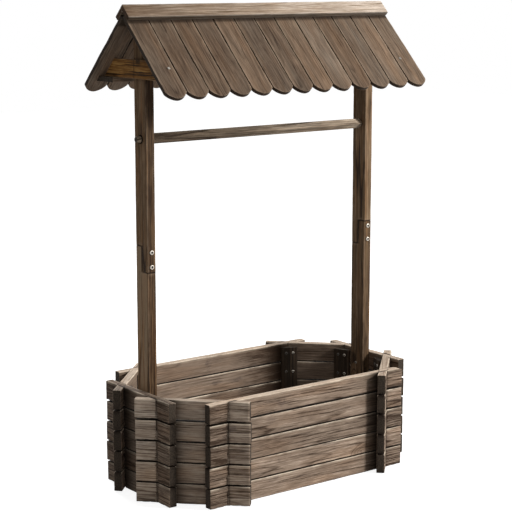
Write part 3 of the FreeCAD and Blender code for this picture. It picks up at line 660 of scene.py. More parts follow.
# one wall board: the ring leans to 45 degrees where it meets the next wall, and its height halves in the notch;
# then the outer face is brushed hollow by up to half a millimetre and torn at the mouths of the notches
def wallBoard(wall, course, rng):
    w = walls
    notchFar = wall["run"] / 2
    notchNear, end = notchFar - w["thick"] * math.sqrt(2), notchFar + w["past"]
    steep = 0.35                                      # the notch's own walls stand within this length
    marks = [notchNear + step for step in (-6, -3, -1.2, -steep, 0)]
    marks += [notchFar + step for step in (0, steep, 1.2, 2.4, 4)]
    left, right = rng.uniform(*w["stagger"], 2)
    stations, inset = roundedStations(-end + left, end - right, w["step"], w["endRound"],
                                      marks + [-mark for mark in marks])
    reach = np.abs(stations)
    inNotch = (reach > notchNear - steep / 2) & (reach < notchFar + steep / 2)
    lean = (zeroToOne((reach - (notchNear - w["leanFrom"])) / w["leanOver"])
            * zeroToOne((end - w["leanEnds"][0] - reach) / w["leanEnds"][1]))
    straight = (reach > notchNear - 6.1) & (reach < notchFar + 4.1)
    lean = np.sign(stations) * np.where(straight, 1.0, lean)
    rough = waver(stations, rng, *w["rough"])
    low = (wall["opened"].get(course, 0.0) + rng.uniform(*w["lowGap"])
           + waver(stations, rng, *w["lowWaver"]) + rough)
    high = w["high"] - rng.uniform(*w["highGap"]) - waver(stations, rng, *w["highWaver"])
    stubGap, stubWave = w["stubGap"]
    low = low + np.where(reach > notchFar + 0.1, stubGap * (0.6 + 0.5 * wander(stations, rng, stubWave)), 0)
    outer = rng.uniform(0, w["faceGap"]) + waver(stations, rng, *w["faceWaver"])
    radius = unevenly(stations, rng, *w["topRound"])
    mid, fromBelow = w["high"] / 2, wall["fromBelow"]
    notched = (np.where(inNotch & fromBelow, mid, low), np.where(inNotch & (not fromBelow), mid, high))
    part = carriedBar(stations, (outer, w["thick"]), notched, radius, boardRule, lean=lean, inset=inset)
    verts = part["verts"]
    x, y, z = verts.T
    across, onFace = perRing(part, reach, end), y < 4
    (dipDeep, dipLong, dipHigh), (tearDeep, tearHigh) = w["faceDip"], w["tear"]
    dip = cloudField(x / dipLong + 7, z / dipHigh + 3, rng) * dipDeep
    # torn wood at the notch mouths: a ragged depth that fades within a few millimetres
    ragged = cloudField(z / tearHigh, np.sign(x) * 3 + 9, rng) ** 1.5
    fromMouth = np.where(across >= notchFar, across - notchFar, notchNear - across)
    torn = ragged * zeroToOne(1 - np.abs(fromMouth) / (1 + 4 * ragged)) * (across < end - 6)
    outside = (across >= notchFar) | (across <= notchNear)
    verts[:, 1] += np.where(onFace, dip + tearDeep * torn * outside, 0)
    # painted shade: along the bottom edge, in the corner lines where boards cross and fading away from them,
    # and in the joint above
    topCourse, inside = course == w["courses"], y > w["thick"] - 2.0
    lowAt, highAt = perRing(part, low, 1.0), perRing(part, high, w["high"] - 0.4)
    bottom = zeroToOne(np.where(inside, 1.0, 1.5) - (z - lowAt) / w["jointShadeHigh"])
    mouth = zeroToOne(1.1 - np.abs(fromMouth) / w["mouthShade"]) * (0.5 + 0.5 * ragged)
    leftGrime, leftReach, rightGrime, rightReach = wall["creaseShade"]
    darkening, length = np.where(x < 0, leftGrime, rightGrime), np.where(x < 0, leftReach, rightReach)
    stubShade, stubReach = w["stubShade"]
    shade = np.where(across <= notchNear, darkening * np.exp(-((notchNear - across) / length) ** 2),
                     stubShade * np.exp(-(across - notchFar) / stubReach))
    inJoint = zeroToOne((y - w["unshadedTop"]) / 1.2) * (z > highAt - 1.0) * (not topCourse) * ~inside
    part["grime"] = np.maximum.reduce([bottom, mouth, shade * onFace, inJoint])
    # the pale arris stays on the top edge and fades on the lower one: partly wear, partly a painted highlight
    # where light catches the top arris
    part["edge"] = part["edge"] * np.clip((z - (highAt - 6)) / 3, 0.12, 1)
    # wood is torn and rough past the notches and has its own tone there, partly painted shade; inside, the
    # grain is plainer and painted shade darkens the face; the top of the top course gets painted light
    part["torn"] = zeroToOne((across - notchFar + 4) / 6)
    tone = np.where(x < 0, *wall["endTone"]) * part["torn"]
    atLeft, elsewhere = wall["innerShade"]
    within = zeroToOne((x + notchNear) / w["innerEnd"])
    tone += np.where(y > w["thick"] / 2, atLeft + (elsewhere - atLeft) * within, 0)
    part["tone"] = np.where(topCourse & (z > highAt - 1.2), wall["rimLight"] + tone * (y < 1), tone)
    part["torn"] = np.where(y > w["thick"] - 0.5, w["innerCalm"], part["torn"])
    if course in wall["chipped"]:
        length, depth = wall["chipped"][course]
        share = zeroToOne((x - (end - length)) / length) ** 1.4
        limit = highAt - depth * share * (0.8 + 0.4 * cloudField(x / 3.0, y / 6.0, rng))
        verts[:, 2] = np.where(share > 0, np.minimum(z, limit), z)
    return part


def makeWalls():
    w = walls
    number = 0
    for wallName, wall in wallPlan.items():
        sideX, sideY = wall["side"]
        inwards = w["cornerIn"] if sideX and sideY else 0.0
        middle = (sideX * (w["halfLong"] - inwards), sideY * (w["halfWide"] - inwards))
        turn = Matrix.Rotation(math.radians(wall["turn"]), 4, "Z")
        for course in range(1, w["courses"] + 1):
            number += 1
            rng = dice("walls", number)
            part = wallBoard(wall, course, rng)
            tone = part["tone"] + wall["tone"] + rng.uniform(*w["boardTone"])
            woodMarks(part, rng, w["pith"], tone, rng.uniform(*w["warmth"]))
            moved(part, Matrix.Translation((*middle, (course - 1) * w["pitch"])) @ turn)
            node = f"wall_{wallName}_board_{course}"
            makePiece(f"wall_{wallName}_course_{course}", part, wallWood, node)
    print("wall boards:", number)


makeWalls()


# the posts: two halves each, lapped and bolted where they join; the top is cut to the roof's slopes
posts = dict(
    apex=1072.8, shoulder={"upper": 571.0, "lower": 513.0},          # the lap's shoulders
    step=6.0, roundness=(1.3, 0.3, 90), waver=(0.25, 300), pith=((-20, 20), (15, 60)),
    slopeFrom=30.0, slopeOver=28.0,                                  # where the rings start to lean, at the top
    seam=2.4, seamGap=0.8,                                           # grime in the lap's seam, its half width
    shoulderLine=(1.6, 1.3), endLine=(1.3, 1.8), paleLine=(1.4, 2.0, 4.0),   # strength, reach, way off
    tone={"left_upper": (0.07, -0.36), "left_lower": (0.52, -0.32),  # of the outer face and the front face
          "right_upper": (0.08, 0.07), "right_lower": (0.02, -0.14)},
    tongueTone={"left_lower": 0.30},                                 # added on the tongue
    warmth={"left_upper": 0.3, "left_lower": 0.3, "right_upper": 0.15, "right_lower": 0.1})
postRule = ringRule(3, (0.06, 0.3, 0.5, 0.7, 0.94), (0.03, 0.12, 0.3, 0.5, 0.7, 0.88, 0.97))

# the hole for the windlass bar: a round bore, wider at the post's outer face
barHole = dict(high=809.0, along=(300.0, 316.0, 327.0, 332.0), radius=(8.9, 8.9, 10.1, 10.5), steps=48,
               gridNear=(3, 7, 11, 12.5, 15),         # the post's stations above and below the hole's middle
               near=40.0, nearOld=60.0,               # points this near the hole's middle are looked at
               wall=10.2, dark=327.3, rimShade=0.3)   # the bore's wall is painted black as shade up to here, and less so outside


# one half of a post, upright along its stations; at the top a ring is lowered by |b| to follow both slopes
def postHalf(side, half, rng):
    p, key, upper = posts, f"{side}_{half}", half == "upper"
    low, high = boxOf(f"post_{key}")
    deep = (high[1] - low[1]) / 2
    frontTongue = (side == "left") == upper
    start, end, shoulder = low[2], p["apex"] if upper else high[2], p["shoulder"][half]
    marks = [shoulder + step for step in (-6, -4, -2.4, -1.2, 0, 1.2, 2.4, 4, 6)]
    marks += [start + 1.8, start + 3, end - 1.8, end - 3, shoulder + (-0.35 if upper else 0.35)]
    slopeStart = end - deep - p["slopeFrom"]
    if upper:
        marks += [slopeStart, barHole["high"]]
        marks += [barHole["high"] + way * step for way in (-1, 1) for step in barHole["gridNear"]]
    stations, inset = roundedStations(start, end, p["step"], 1.0, marks)
    if upper:
        inset = np.where(stations > end - 2, 0.0, inset)
        onTongue, fromTongueEnd = stations < shoulder - 0.1, stations - start
        lean = -zeroToOne((stations - slopeStart) / p["slopeOver"])
    else:
        onTongue, fromTongueEnd, lean = stations > shoulder + 0.1, end - stations, 0.0
    trims = [waver(stations, rng, *p["waver"]) for face in range(4)]
    front = np.where(onTongue & (not frontTongue), p["seamGap"], -deep)
    back = np.where(onTongue & frontTongue, -p["seamGap"], deep)
    radius = unevenly(stations, rng, *p["roundness"])
    part = carriedBar(stations, (low[0] + trims[0], high[0] - trims[1]), (front + trims[2], back - trims[3]),
                      radius, postRule, lean=lean, leanOn="b", inset=inset)
    # grime along the seam between the halves, under the shoulder and at the tongue's end,
    # and beside the shoulder a worn pale line; both lie only on the side that the shoulder is on
    across = part["verts"][:, 2]
    tongue = perRing(part, onTongue.astype(float), 0.0)
    seam = zeroToOne(1.5 - np.abs(across) / p["seam"]) * tongue
    stepSide = zeroToOne((across if frontTongue else -across) / 0.5 + 0.5)
    nearShoulder = perRing(part, np.abs(stations - shoulder), 50.0)
    (lineFull, lineReach), (endFull, endReach), (paleFull, paleReach, paleAt) = [
        p[line] for line in ("shoulderLine", "endLine", "paleLine")]
    shoulderLine = zeroToOne(lineFull - nearShoulder / lineReach) * stepSide
    endLine = zeroToOne(endFull - perRing(part, fromTongueEnd, 50.0) / endReach) * 0.9
    part["grime"] = np.maximum(np.maximum(seam, shoulderLine), endLine)
    pale = zeroToOne(paleFull - np.abs(nearShoulder - paleAt) / paleReach) * stepSide * (1 - tongue)
    part["edge"] = np.maximum(part["edge"], pale)
    outerTone, frontTone = p["tone"][key]
    outerTone = outerTone + p["tongueTone"].get(key, 0.0) * tongue
    onFront = zeroToOne((-deep + 5 - across) / 4)
    woodMarks(part, rng, p["pith"], outerTone + (frontTone - outerTone) * onFront, p["warmth"][key])
    return reordered(part, [1, 2, 0])


# the bore as a closed tube in metres, turned inside out on the left so that it still faces outwards
def boreMesh(sign):
    h = barHole
    angle = np.arange(h["steps"]) / h["steps"] * fullTurn
    along, radius = np.array(h["along"])[:, None], np.array(h["radius"])[:, None]
    points = np.stack(np.broadcast_arrays(along, radius * np.cos(angle), radius * np.sin(angle)), axis=-1)
    bore = closedTube(points, np.zeros(points.shape[:2]))
    verts = (bore["verts"] + [0, 0, h["high"]]) * [sign, 1, 1] * mm
    faces = [face[::sign] for kind in ("quads", "tris") for face in bore[kind].tolist()]
    mesh = bpy.data.meshes.new("bore")
    mesh.from_pydata(verts.tolist(), [], faces)
    return mesh


# cuts the bore from an upper post; the points that the cut adds take their marks from the nearest old point,
# and their place in the grain from where they are
def drillForBar(piece, part, sign):
    h = barHole
    tool = bpy.data.objects.new("bore", boreMesh(sign))
    scene.collection.objects.link(tool)
    cut = piece.modifiers.new("bore", "BOOLEAN")
    cut.operation, cut.solver, cut.object = "DIFFERENCE", "EXACT", tool
    depsgraph = bpy.context.evaluated_depsgraph_get()
    drilled = bpy.data.meshes.new_from_object(piece.evaluated_get(depsgraph), preserve_all_data_layers=True,
                                              depsgraph=depsgraph)
    piece.modifiers.clear()
    piece.data = drilled
    bpy.data.objects.remove(tool)

    def fromHole(points):
        return np.hypot(points[:, 1], points[:, 2] - h["high"])
    places = np.empty(len(drilled.vertices) * 3, dtype=np.float32)
    drilled.vertices.foreach_get("co", places)
    places = places.reshape(-1, 3) / mm
    index = np.nonzero(fromHole(places) < h["near"])[0]
    places = places[index]
    old = np.nonzero(fromHole(part["verts"]) < h["nearOld"])[0]
    gaps = np.linalg.norm(places[:, None] - part["verts"][old][None], axis=2)
    nearest, added = old[gaps.argmin(axis=1)], gaps.min(axis=1) > 0.01
    inBore = added & (fromHole(places) < h["wall"])
    # painted shade on the bore's wall: black deep in, less at the mouth
    boreShade = np.where(np.abs(places[inBore, 0]) < h["dark"], 1.0, h["rimShade"])
    grainOrder = [2, 0, 1]
    grainShift = part["grainAt"][0] / mm - part["verts"][0][grainOrder]
    for key, kind in markKinds.items():
        if key not in part:
            continue
        columns, field = (1, "value") if kind == "FLOAT" else (3, "vector")
        layer = drilled.attributes[key]
        values = np.empty(len(drilled.vertices) * columns, dtype=np.float32)
        layer.data.foreach_get(field, values)
        values = values.reshape(-1, columns)
        values[index[added]] = part[key].reshape(-1, columns)[nearest[added]]
        if key == "grainAt":
            values[index[added]] = (places[added][:, grainOrder] + grainShift) * mm
        if key == "boardTone":
            values[index[inBore], 2] = boreShade
        layer.data.foreach_set(field, values.ravel())
    drilled.set_sharp_from_angle(angle=sharpWood)


def makePosts():
    number = 0
    for side, sign in (("left", -1), ("right", 1)):
        for half in ("lower", "upper"):
            number += 1
            part = postHalf(side, half, dice("posts", number))
            piece = makePiece(f"{side}_post_{half}", part, postWood, f"post_{side}_{half}")
            if half == "upper":
                drillForBar(piece, part, sign)
    print("post halves:", number)


makePosts()


# the windlass bar: square on edge between the posts, turned down to a round journal and a tapered end;
# its radius at an angle is the smaller of the rounded square's and the journal's
windlass = dict(
    high=809.0, side=17.5, squareness=18.0, steps=72, worn=(0.012, 130), pith=((-8, 8), (6, 16)),
    journalStart=305.0, journalEnd=317.0, journal=8.72, tip=6.8, end=340.0,
    hidden=330.5, tipHighlight=0.35,                                    # painted shade darkens the journal in the bore up to here; the tip is lightened as a painted highlight
    toneAlong=((-305, 305), (-0.2, 0.22)),                         # places along the bar, and the tone there
    topFaceLight=((-100, 200), (-0.1, 0.12)), arrisGrime=((-120, 60), (0.6, 0.0)))


def makeWindlassBar():
    w, rng = windlass, dice("windlass", 1)
    start, journalEnd, end, hidden = w["journalStart"], w["journalEnd"], w["end"], w["hidden"]
    turned = [start - 0.4, start, start + 4, journalEnd, journalEnd + 11, hidden - 2, hidden,
              end - 1.6, end - 0.5, end]
    half = np.concatenate([np.linspace(0, start - 2, 60), turned])
    stations = np.concatenate([-half[:0:-1], half])
    turnedDown, tip, free = w["journal"], w["tip"], 30.0    # free is past the square's corners: not turned down
    journal = np.interp(np.abs(stations), [0, start - 0.4, start, journalEnd, end - 1.6, end - 0.5, end],
                        [free, free, turnedDown, turnedDown, tip + 0.1, tip - 0.4, tip - 1.4])
    angle = np.arange(w["steps"]) / w["steps"] * fullTurn
    p = w["squareness"]
    square = (w["side"] / 2) / (np.abs(np.cos(angle + math.pi / 4)) ** p
                                + np.abs(np.sin(angle + math.pi / 4)) ** p) ** (1 / p)
    worn = 1 - waver(stations, rng, *w["worn"])
    radius = np.minimum(square[None, :] * worn[:, None], journal[:, None])
    points = np.broadcast_arrays(stations[:, None], radius * np.cos(angle), radius * np.sin(angle))
    corner = zeroToOne((square - square.min()) / (square.max() - square.min())) ** 6
    part = closedTube(np.stack(points, axis=-1), corner[None, :] * (journal[:, None] >= free))
    x, y, z = part["verts"].T
    reach = np.abs(x)
    # painted shade and light: the upper front face darker at the left and lighter at the right, and the tip
    # lighter as a painted highlight
    tone = np.interp(x, *w["toneAlong"]) + np.where((z > 0) & (y < 0), np.interp(x, *w["topFaceLight"]), 0)
    tone = tone + w["tipHighlight"] * (reach > hidden - 0.5)
    # painted shadow of the bore on the journal
    inHole = zeroToOne((reach - start - 1) / 3) * zeroToOne((hidden - reach) / 2.0)
    arris = zeroToOne(1.3 - np.abs(z) / 1.2) * (y < 0) * np.interp(x, *w["arrisGrime"]) * (reach < start - 5)
    part["grime"] = np.maximum(inHole, arris)
    woodMarks(part, rng, w["pith"], tone, 0.05)
    part["verts"] = part["verts"] + [0, 0, w["high"]]
    makePiece("windlass_roller", part, barWood, "windlass_bar", body="windlass")
    print("windlass bar done")


makeWindlassBar()


# the roof boards: thirteen to a slope, each with a round end at the eaves
roof = dict(ridge=1087.0, count=13, thick=10.0, wide=55.3, pitch=57.2, first=-370.85,
            start=10.0, tipStart=230.5, reach=248.0,       # down the slope: upper end, round tip, lower end
            steps=40, tipSteps=18, blunt=2.0,              # stations, and the angle where the round tip stops
            roundness=(1.1, 0.3, 70), waver=(0.9, 160), dip=(1.08, 190), pith=((-60, -18), (0, 22)),
            sideShade=0.85, underTone=0.28,                # painted shade on the sides, and a less weathered underside
            capEnd=28.0, capShadow=0.85,                    # painted shadow below the ridge caps
            tone=(-0.16, 0.1), warmth=(0, 0.4))            # the differences between boards
roofRule = ringRule(2, (0.03, 0.12, 0.3, 0.5, 0.7, 0.88, 0.97), (0.2, 0.4, 0.6, 0.8, 0.92))


# a slope's own axes: x down the slope, y along the ridge, z out of the roof
def slopeMatrix(front):
    c = math.sqrt(0.5)
    side = -1 if front else 1
    return placed((0, 0, roof["ridge"]), (0, side * c, -c), (-side, 0, 0), (0, side * c, c))


# one board: half its width is sqrt(R^2 - d^2) past the start of the round tip
def roofBoard(rng):
    r = roof
    half, rise = r["wide"] / 2, r["reach"] - r["tipStart"]
    bow = (half ** 2 + rise ** 2) / (2 * rise)
    tipAngles = np.linspace(math.asin(half / bow), math.radians(r["blunt"]), r["tipSteps"])
    straight = np.linspace(r["start"], r["tipStart"], r["steps"])
    stations = np.concatenate([straight, (r["reach"] - bow + bow * np.cos(tipAngles))[1:]])
    width = np.concatenate([np.full(len(straight), half), bow * np.sin(tipAngles)[1:]])
    trims = [waver(stations, rng, *r["waver"]) * np.minimum(1, width / 10) for side in range(2)]
    dip = waver(stations, rng, *r["dip"])
    radius = unevenly(stations, rng, *r["roundness"])
    part = carriedBar(stations, (-width + trims[0], width - trims[1]), (-r["thick"], -dip), radius, roofRule)
    down, aside, out = part["verts"].T
    part["endFace"] = np.where(down < r["start"] + 0.01, 1.0, 0.0)
    # the sides of the thickness get painted shade, the worn arris above them does not
    part["grime"] = np.where((out < -1.6) & (out > -r["thick"] + 0.3), r["sideShade"], 0.0)
    # painted shadow of the ridge cap over the boards' upper ends
    underCapShadow = r["capShadow"] * zeroToOne((r["capEnd"] + 11 - down) / 7)
    part["grime"] = np.maximum(part["grime"], underCapShadow)
    return part


def makeRoof():
    r = roof
    for side, front in (("front", True), ("back", False)):
        parts = []
        for index in range(r["count"]):
            rng = dice("roofFront" if front else "roofBack", index)
            part = roofBoard(rng)
            tone = rng.uniform(*r["tone"]) + r["underTone"] * (part["verts"][:, 2] < 0.5 - r["thick"])
            woodMarks(part, rng, r["pith"], tone, rng.uniform(*r["warmth"]))
            centre = r["first"] + index * r["pitch"] + r["wide"] / 2
            moved(part, slopeMatrix(front) @ Matrix.Translation((0, centre if front else -centre, 0)))
            parts.append(part)
        makePiece(f"roof_slope_{side}", joinedParts(parts), roofWood, f"roof_boards_{side}")
    print("roof boards:", 2 * r["count"])


makeRoof()


# the ridge caps: two long boards on the slopes, the front one over the back one's edge
ridgeCap = dict(halfLong=370.5, thick=11.0,
                frontHigh=-11.0, backHigh=0.05, low=28.0,      # the edges' places down the slope
                step=8.0, roundness=1.0, endRound=0.9, waver=(0.24, 260), lowWaver=(0.8, 210),
                lowEdgeShade=0.8, pith=((-40, -15), (0, 15)),
                toneAlong=((-370, -200, 0, 370), (-0.30, -0.18, 0.0, 0.28)))  # painted light falling off to the left: darker at the left, paler towards the right
capRule = ringRule(3, (0.04, 0.14, 0.35, 0.65, 0.86, 0.96), (0.08, 0.5, 0.92))


# carried along the ridge: a is the way down the slope, b the way out of it
def makeCaps():
    c = ridgeCap
    for index, (side, front) in enumerate((("front", True), ("back", False))):
        rng = dice("ridgeCaps", index)
        stations, inset = roundedStations(-c["halfLong"], c["halfLong"], c["step"], c["endRound"])
        trim = waver(stations, rng, *c["waver"])
        top = c["frontHigh" if front else "backHigh"] + trim
        low = c["low"] - waver(stations, rng, *c["lowWaver"])
        part = carriedBar(stations, (top, low), (0.05, c["thick"] - trim), c["roundness"], capRule, inset=inset)
        if front:
            part["verts"] = part["verts"] * [-1, 1, 1]
            flipped(part)
        along, down, out = part["verts"].T
        # painted shade on the thickness of the lower edge
        part["grime"] = c["lowEdgeShade"] * zeroToOne(down - (c["low"] - 2.2))
        tone = np.interp(along if front else -along, *c["toneAlong"])
        woodMarks(part, rng, c["pith"], tone, 0.05)
        moved(flipped(reordered(part, [1, 0, 2])), slopeMatrix(front))
        makePiece(f"ridge_board_{side}", part, capWood, f"ridge_cap_{side}")
    print("ridge caps done")


makeCaps()


# the gable ties: plain boards whose ends run up with the roof's slopes,
# with a dark stain, and a painted shadow at the top edge that reads as a notch, on the outside
gableTie = dict(step=3.0, roundness=1.0, endRound=0.8, waver=(0.3, 200), pith=((-20, 20), (15, 60)),
                warmth=0.3, leanFrom=40.0, leanOver=40.0,      # the rings lean from here outwards
                stain=(0.75, 11.6, 1.8),                       # grime, place and width
                notch=(0.85, -6.0, 10.0, 12.0))                # painted shadow like a notch: strength, place, half width and depth
tieRule = ringRule(2, tuple(np.linspace(0.03, 0.97, 15)), (0.15, 0.5, 0.85))


# the ring leans towards the middle as it rises
def makeTies():
    t = gableTie
    for index, side in enumerate(("left", "right")):
        low, high = boxOf(f"gable_tie_{side}")
        rise = high[2] - low[2]
        rng = dice("gableTies", index)
        stations, inset = roundedStations(low[1], high[1], t["step"], t["endRound"])
        lean = -np.sign(stations) * zeroToOne((np.abs(stations) - t["leanFrom"]) / t["leanOver"])
        trims = [waver(stations, rng, *t["waver"]) for face in range(4)]
        part = carriedBar(stations, (trims[0], rise - trims[1]), (low[0] + trims[2], high[0] - trims[3]),
                          t["roundness"], tieRule, lean=lean, inset=inset)
        along, up, out = part["verts"].T
        stainGrime, stainAt, stainWide = t["stain"]
        notchShadow, notchAt, notchHalf, notchDeep = t["notch"]
        stain = stainGrime * np.exp(-((along - stainAt + 0.05 * up) / stainWide) ** 2)
        # painted shadow at the top edge
        notch = zeroToOne((notchHalf - np.abs(along - notchAt)) / 3) * zeroToOne((up - (rise - notchDeep)) / 4)
        part["grime"] = np.maximum(stain, notchShadow * notch)
        woodMarks(part, rng, t["pith"], 0.0, t["warmth"])
        reordered(part, [2, 0, 1])["verts"] += [0, 0, low[2]]
        makePiece(f"gable_rail_{side}", part, tieWood, f"gable_tie_{side}")
    print("gable ties done")


makeTies()


# the corner battens: five-sided bars, one inside each corner, with the ridge of the section in the corner
cornerBatten = dict(section=((0, 0), (21, 8.7), (21, 17), (-21, 17), (-21, 8.7)), cut=1.2,
                    step=7.0, roundness=0.9, waver=(0.3, 120), short=(0, 1.2), apexIn=21.65,
                    corners=((348, 81, 22.5), (234, 195, 67.5)),      # place in x and y, and bearing
                    tone=(-0.1, 0.1), warmth=(0, 0.2), pith=((-12, 12), (10, 30)))


def battenPlaces():
    for x, y, bearing in cornerBatten["corners"]:
        for signX in (-1, 1):
            for signY in (-1, 1):
                angle = math.radians(bearing)
                inward = Vector((-signX * math.cos(angle), -signY * math.sin(angle), 0))
                origin = Vector((signX * x, signY * y, 0)) + inward * cornerBatten["apexIn"]
                yield placed(origin, Vector((inward.y, -inward.x, 0)), inward, Vector((0, 0, 1)))


def makeCornerBattens():
    c = cornerBatten
    low, high = boxOf("corner_battens")
    section, edge = roundedSection(c["section"], c["cut"])
    parts = []
    for index, place in enumerate(battenPlaces()):
        rng = dice("cornerBattens", index)
        top = high[2] - rng.uniform(*c["short"])
        stations, inset = roundedStations(low[2], top, c["step"], c["roundness"])
        part = carriedSection(stations, section, edge, inset, waver(stations, rng, *c["waver"]))
        woodMarks(part, rng, c["pith"], rng.uniform(*c["tone"]), rng.uniform(*c["warmth"]))
        parts.append(moved(reordered(part, [1, 2, 0]), place))
    makePiece("corner_posts", joinedParts(parts), battenWood, "corner_battens")
    print("corner battens:", len(parts))


makeCornerBattens()


# long battens under the roof: at the eaves with a bevelled top edge, at the ridge flat under the boards
roofBatten = dict(eaveIn=74.0, eaveLow=142.86, eaveTop=131.86,               # in y, to both sides
                  ridgeFrom=28.0, ridgeTo=70.0, ridgeThick=15.0,             # down the slope
                  cut=1.0, waver=(0.3, 220), roundness=0.8, step=8.0, tone=(-0.1, 0.05), warmth=0.1,
                  eavePith=((-960, -940), (10, 30)), ridgePith=((-20, 20), (10, 30)))


def eaveBatten(side, node, rng):
    b = roofBatten
    low, high = boxOf(node)
    corners = [(b["eaveIn"], low[2]), (b["eaveLow"], low[2]), (b["eaveTop"], high[2]), (b["eaveIn"], high[2])]
    if side == "front":
        corners = [(-y, z) for y, z in corners[::-1]]
    section, edge = roundedSection(corners, b["cut"], sideSteps=5)
    stations, inset = roundedStations(low[0], high[0], b["step"], b["roundness"])
    part = carriedSection(stations, section, edge, inset, waver(stations, rng, *b["waver"]))
    return woodMarks(part, rng, b["eavePith"], rng.uniform(*b["tone"]), b["warmth"])


# carried along the ridge: a is the way out of the slope, b the way down it
def ridgeBatten(side, node, rng):
    b = roofBatten
    low, high = boxOf(node)
    stations, inset = roundedStations(low[0], high[0], b["step"], b["roundness"])
    trims = [waver(stations, rng, *b["waver"]) for face in range(4)]
    outer = -roof["thick"]
    part = carriedBar(stations, (outer - b["ridgeThick"] + trims[0], outer - trims[1]),
                      (b["ridgeFrom"] + trims[2], b["ridgeTo"] - trims[3]), b["cut"], barRule, inset=inset)
    woodMarks(part, rng, b["ridgePith"], rng.uniform(*b["tone"]), b["warmth"])
    return moved(reordered(part, [2, 0, 1]), slopeMatrix(side == "front"))


def makeRoofBattens():
    for index, side in enumerate(("front", "back")):
        for place, kind, shape in (("eave", "eaveBattens", eaveBatten), ("ridge", "ridgeBattens", ridgeBatten)):
            node = f"{place}_batten_{side}"
            makePiece(f"{place}_rail_{side}", shape(side, node, dice(kind, index)), roofWood, node)
    print("roof battens done")


makeRoofBattens()


# the floor: two bearers across and four slats along, each slat given by its middle and half its length
planterFloor = dict(bearerWide=40.0, slatWide=80.0, slats=((-132, 195), (-44, 300), (44, 300), (132, 195)),
                    step=6.0, roundness=(1.2, 0.3, 80), endRound=0.96, waver=(0.3, 240),
                    pith=((-20, 20), (15, 60)),
                    bearerTone=(-0.12, 0.0), bearerWarmth=0.15, slatTone=(-0.15, 0.05), slatWarmth=(0, 0.2))


# a straight board that fills a box; its length, height and width lie along the three axes named
def boxBoard(low, high, axes, rng):
    f, (s, a, b) = planterFloor, axes
    stations, inset = roundedStations(low[s], high[s], f["step"], f["endRound"])
    trims = [waver(stations, rng, *f["waver"]) for face in range(4)]
    radius = unevenly(stations, rng, *f["roundness"])
    return carriedBar(stations, (low[a] + trims[0], high[a] - trims[1]),
                      (low[b] + trims[2], high[b] - trims[3]), radius, barRule, inset=inset)


def makeFloor():
    f = planterFloor
    low, high = boxOf("floor_bearers")
    parts = []
    for index, left in enumerate((low[0], high[0] - f["bearerWide"])):
        rng = dice("bearers", index)
        part = boxBoard((left, low[1], low[2]), (left + f["bearerWide"], high[1], high[2]), (1, 2, 0), rng)
        woodMarks(part, rng, f["pith"], rng.uniform(*f["bearerTone"]), f["bearerWarmth"])
        parts.append(reordered(part, [2, 0, 1]))
    makePiece("floor_joists", joinedParts(parts), floorWood, "floor_bearers")
    low, high = boxOf("floor_boards")
    parts, half = [], f["slatWide"] / 2
    for index, (centre, long) in enumerate(f["slats"]):
        rng = dice("slats", index)
        part = boxBoard((-long, centre - half, low[2]), (long, centre + half, high[2]), (0, 1, 2), rng)
        tone, warmth = rng.uniform(*f["slatTone"]), rng.uniform(*f["slatWarmth"])
        parts.append(woodMarks(part, rng, f["pith"], tone, warmth))
    makePiece("floor_slats", joinedParts(parts), floorWood, "floor_boards")
    print("floor done")


makeFloor()


# steel heads: each profile runs from the wood outwards and then down into the recess,
# as radius, height, and how far it is the recess
lapBolt = dict(
    head=((5.0, -1.5, 0), (5.25, 0.2, 0), (5.2, 1.5, 0), (4.9, 2.2, 0), (4.2, 2.55, 0), (3.4, 2.6, 0),
          (2.7, 2.45, 1), (2.4, 2.0, 1), (2.3, 0.7, 1)),
    out=317.0, middle=542.0, spread=16.5, face=23.0, grime=0.16, steps=48)
woodScrew = dict(
    head=((1.6, -4.0, 0), (3.3, 0.0, 0), (3.7, 0.25, 0), (3.5, 0.8, 0), (2.9, 1.25, 0), (2.2, 1.5, 0),
          (1.75, 1.45, 1), (1.3, 0.75, 1)),
    aside=9.0, faceIn=16.8, firstHigh=23.5, leftGrime=(0.05, 0.4), rightGrime=(0.8, 1.0),  # in the battens
    postFace=306.0, postHigh=(210.0, 64.4), postAside=2.0, postGrime=0.75,                 # into the walls
    tieHigh=(951.0, 973.0), tieGrime=0.6)                                                  # into the ties
roofNail = dict(
    head=((1.0, -4.0, 0), (1.3, 0.0, 0), (3.2, 0.05, 0), (3.5, 0.4, 0), (3.2, 0.8, 0), (1.6, 0.85, 0)),
    down=166.0, out=330.0, grime={-1: 0.45, 1: 0.68})          # grime at the left and right end of the roof


# the shapes of the recesses, as radius by angle. a hexagon: the flat's distance / cos(angle from its middle)
def hexagon(angle):
    flat = 0.93
    return 1 / np.cos((angle + math.pi / 6) % (math.pi / 3) - math.pi / 6) * flat


# a cross: |cos 2a|^3 between a narrow waist and four arms
def cross(angle):
    waist = 0.42
    return waist + 0.58 * np.abs(np.cos(2 * angle)) ** 3


def noRecess(angle):
    return np.ones_like(angle)


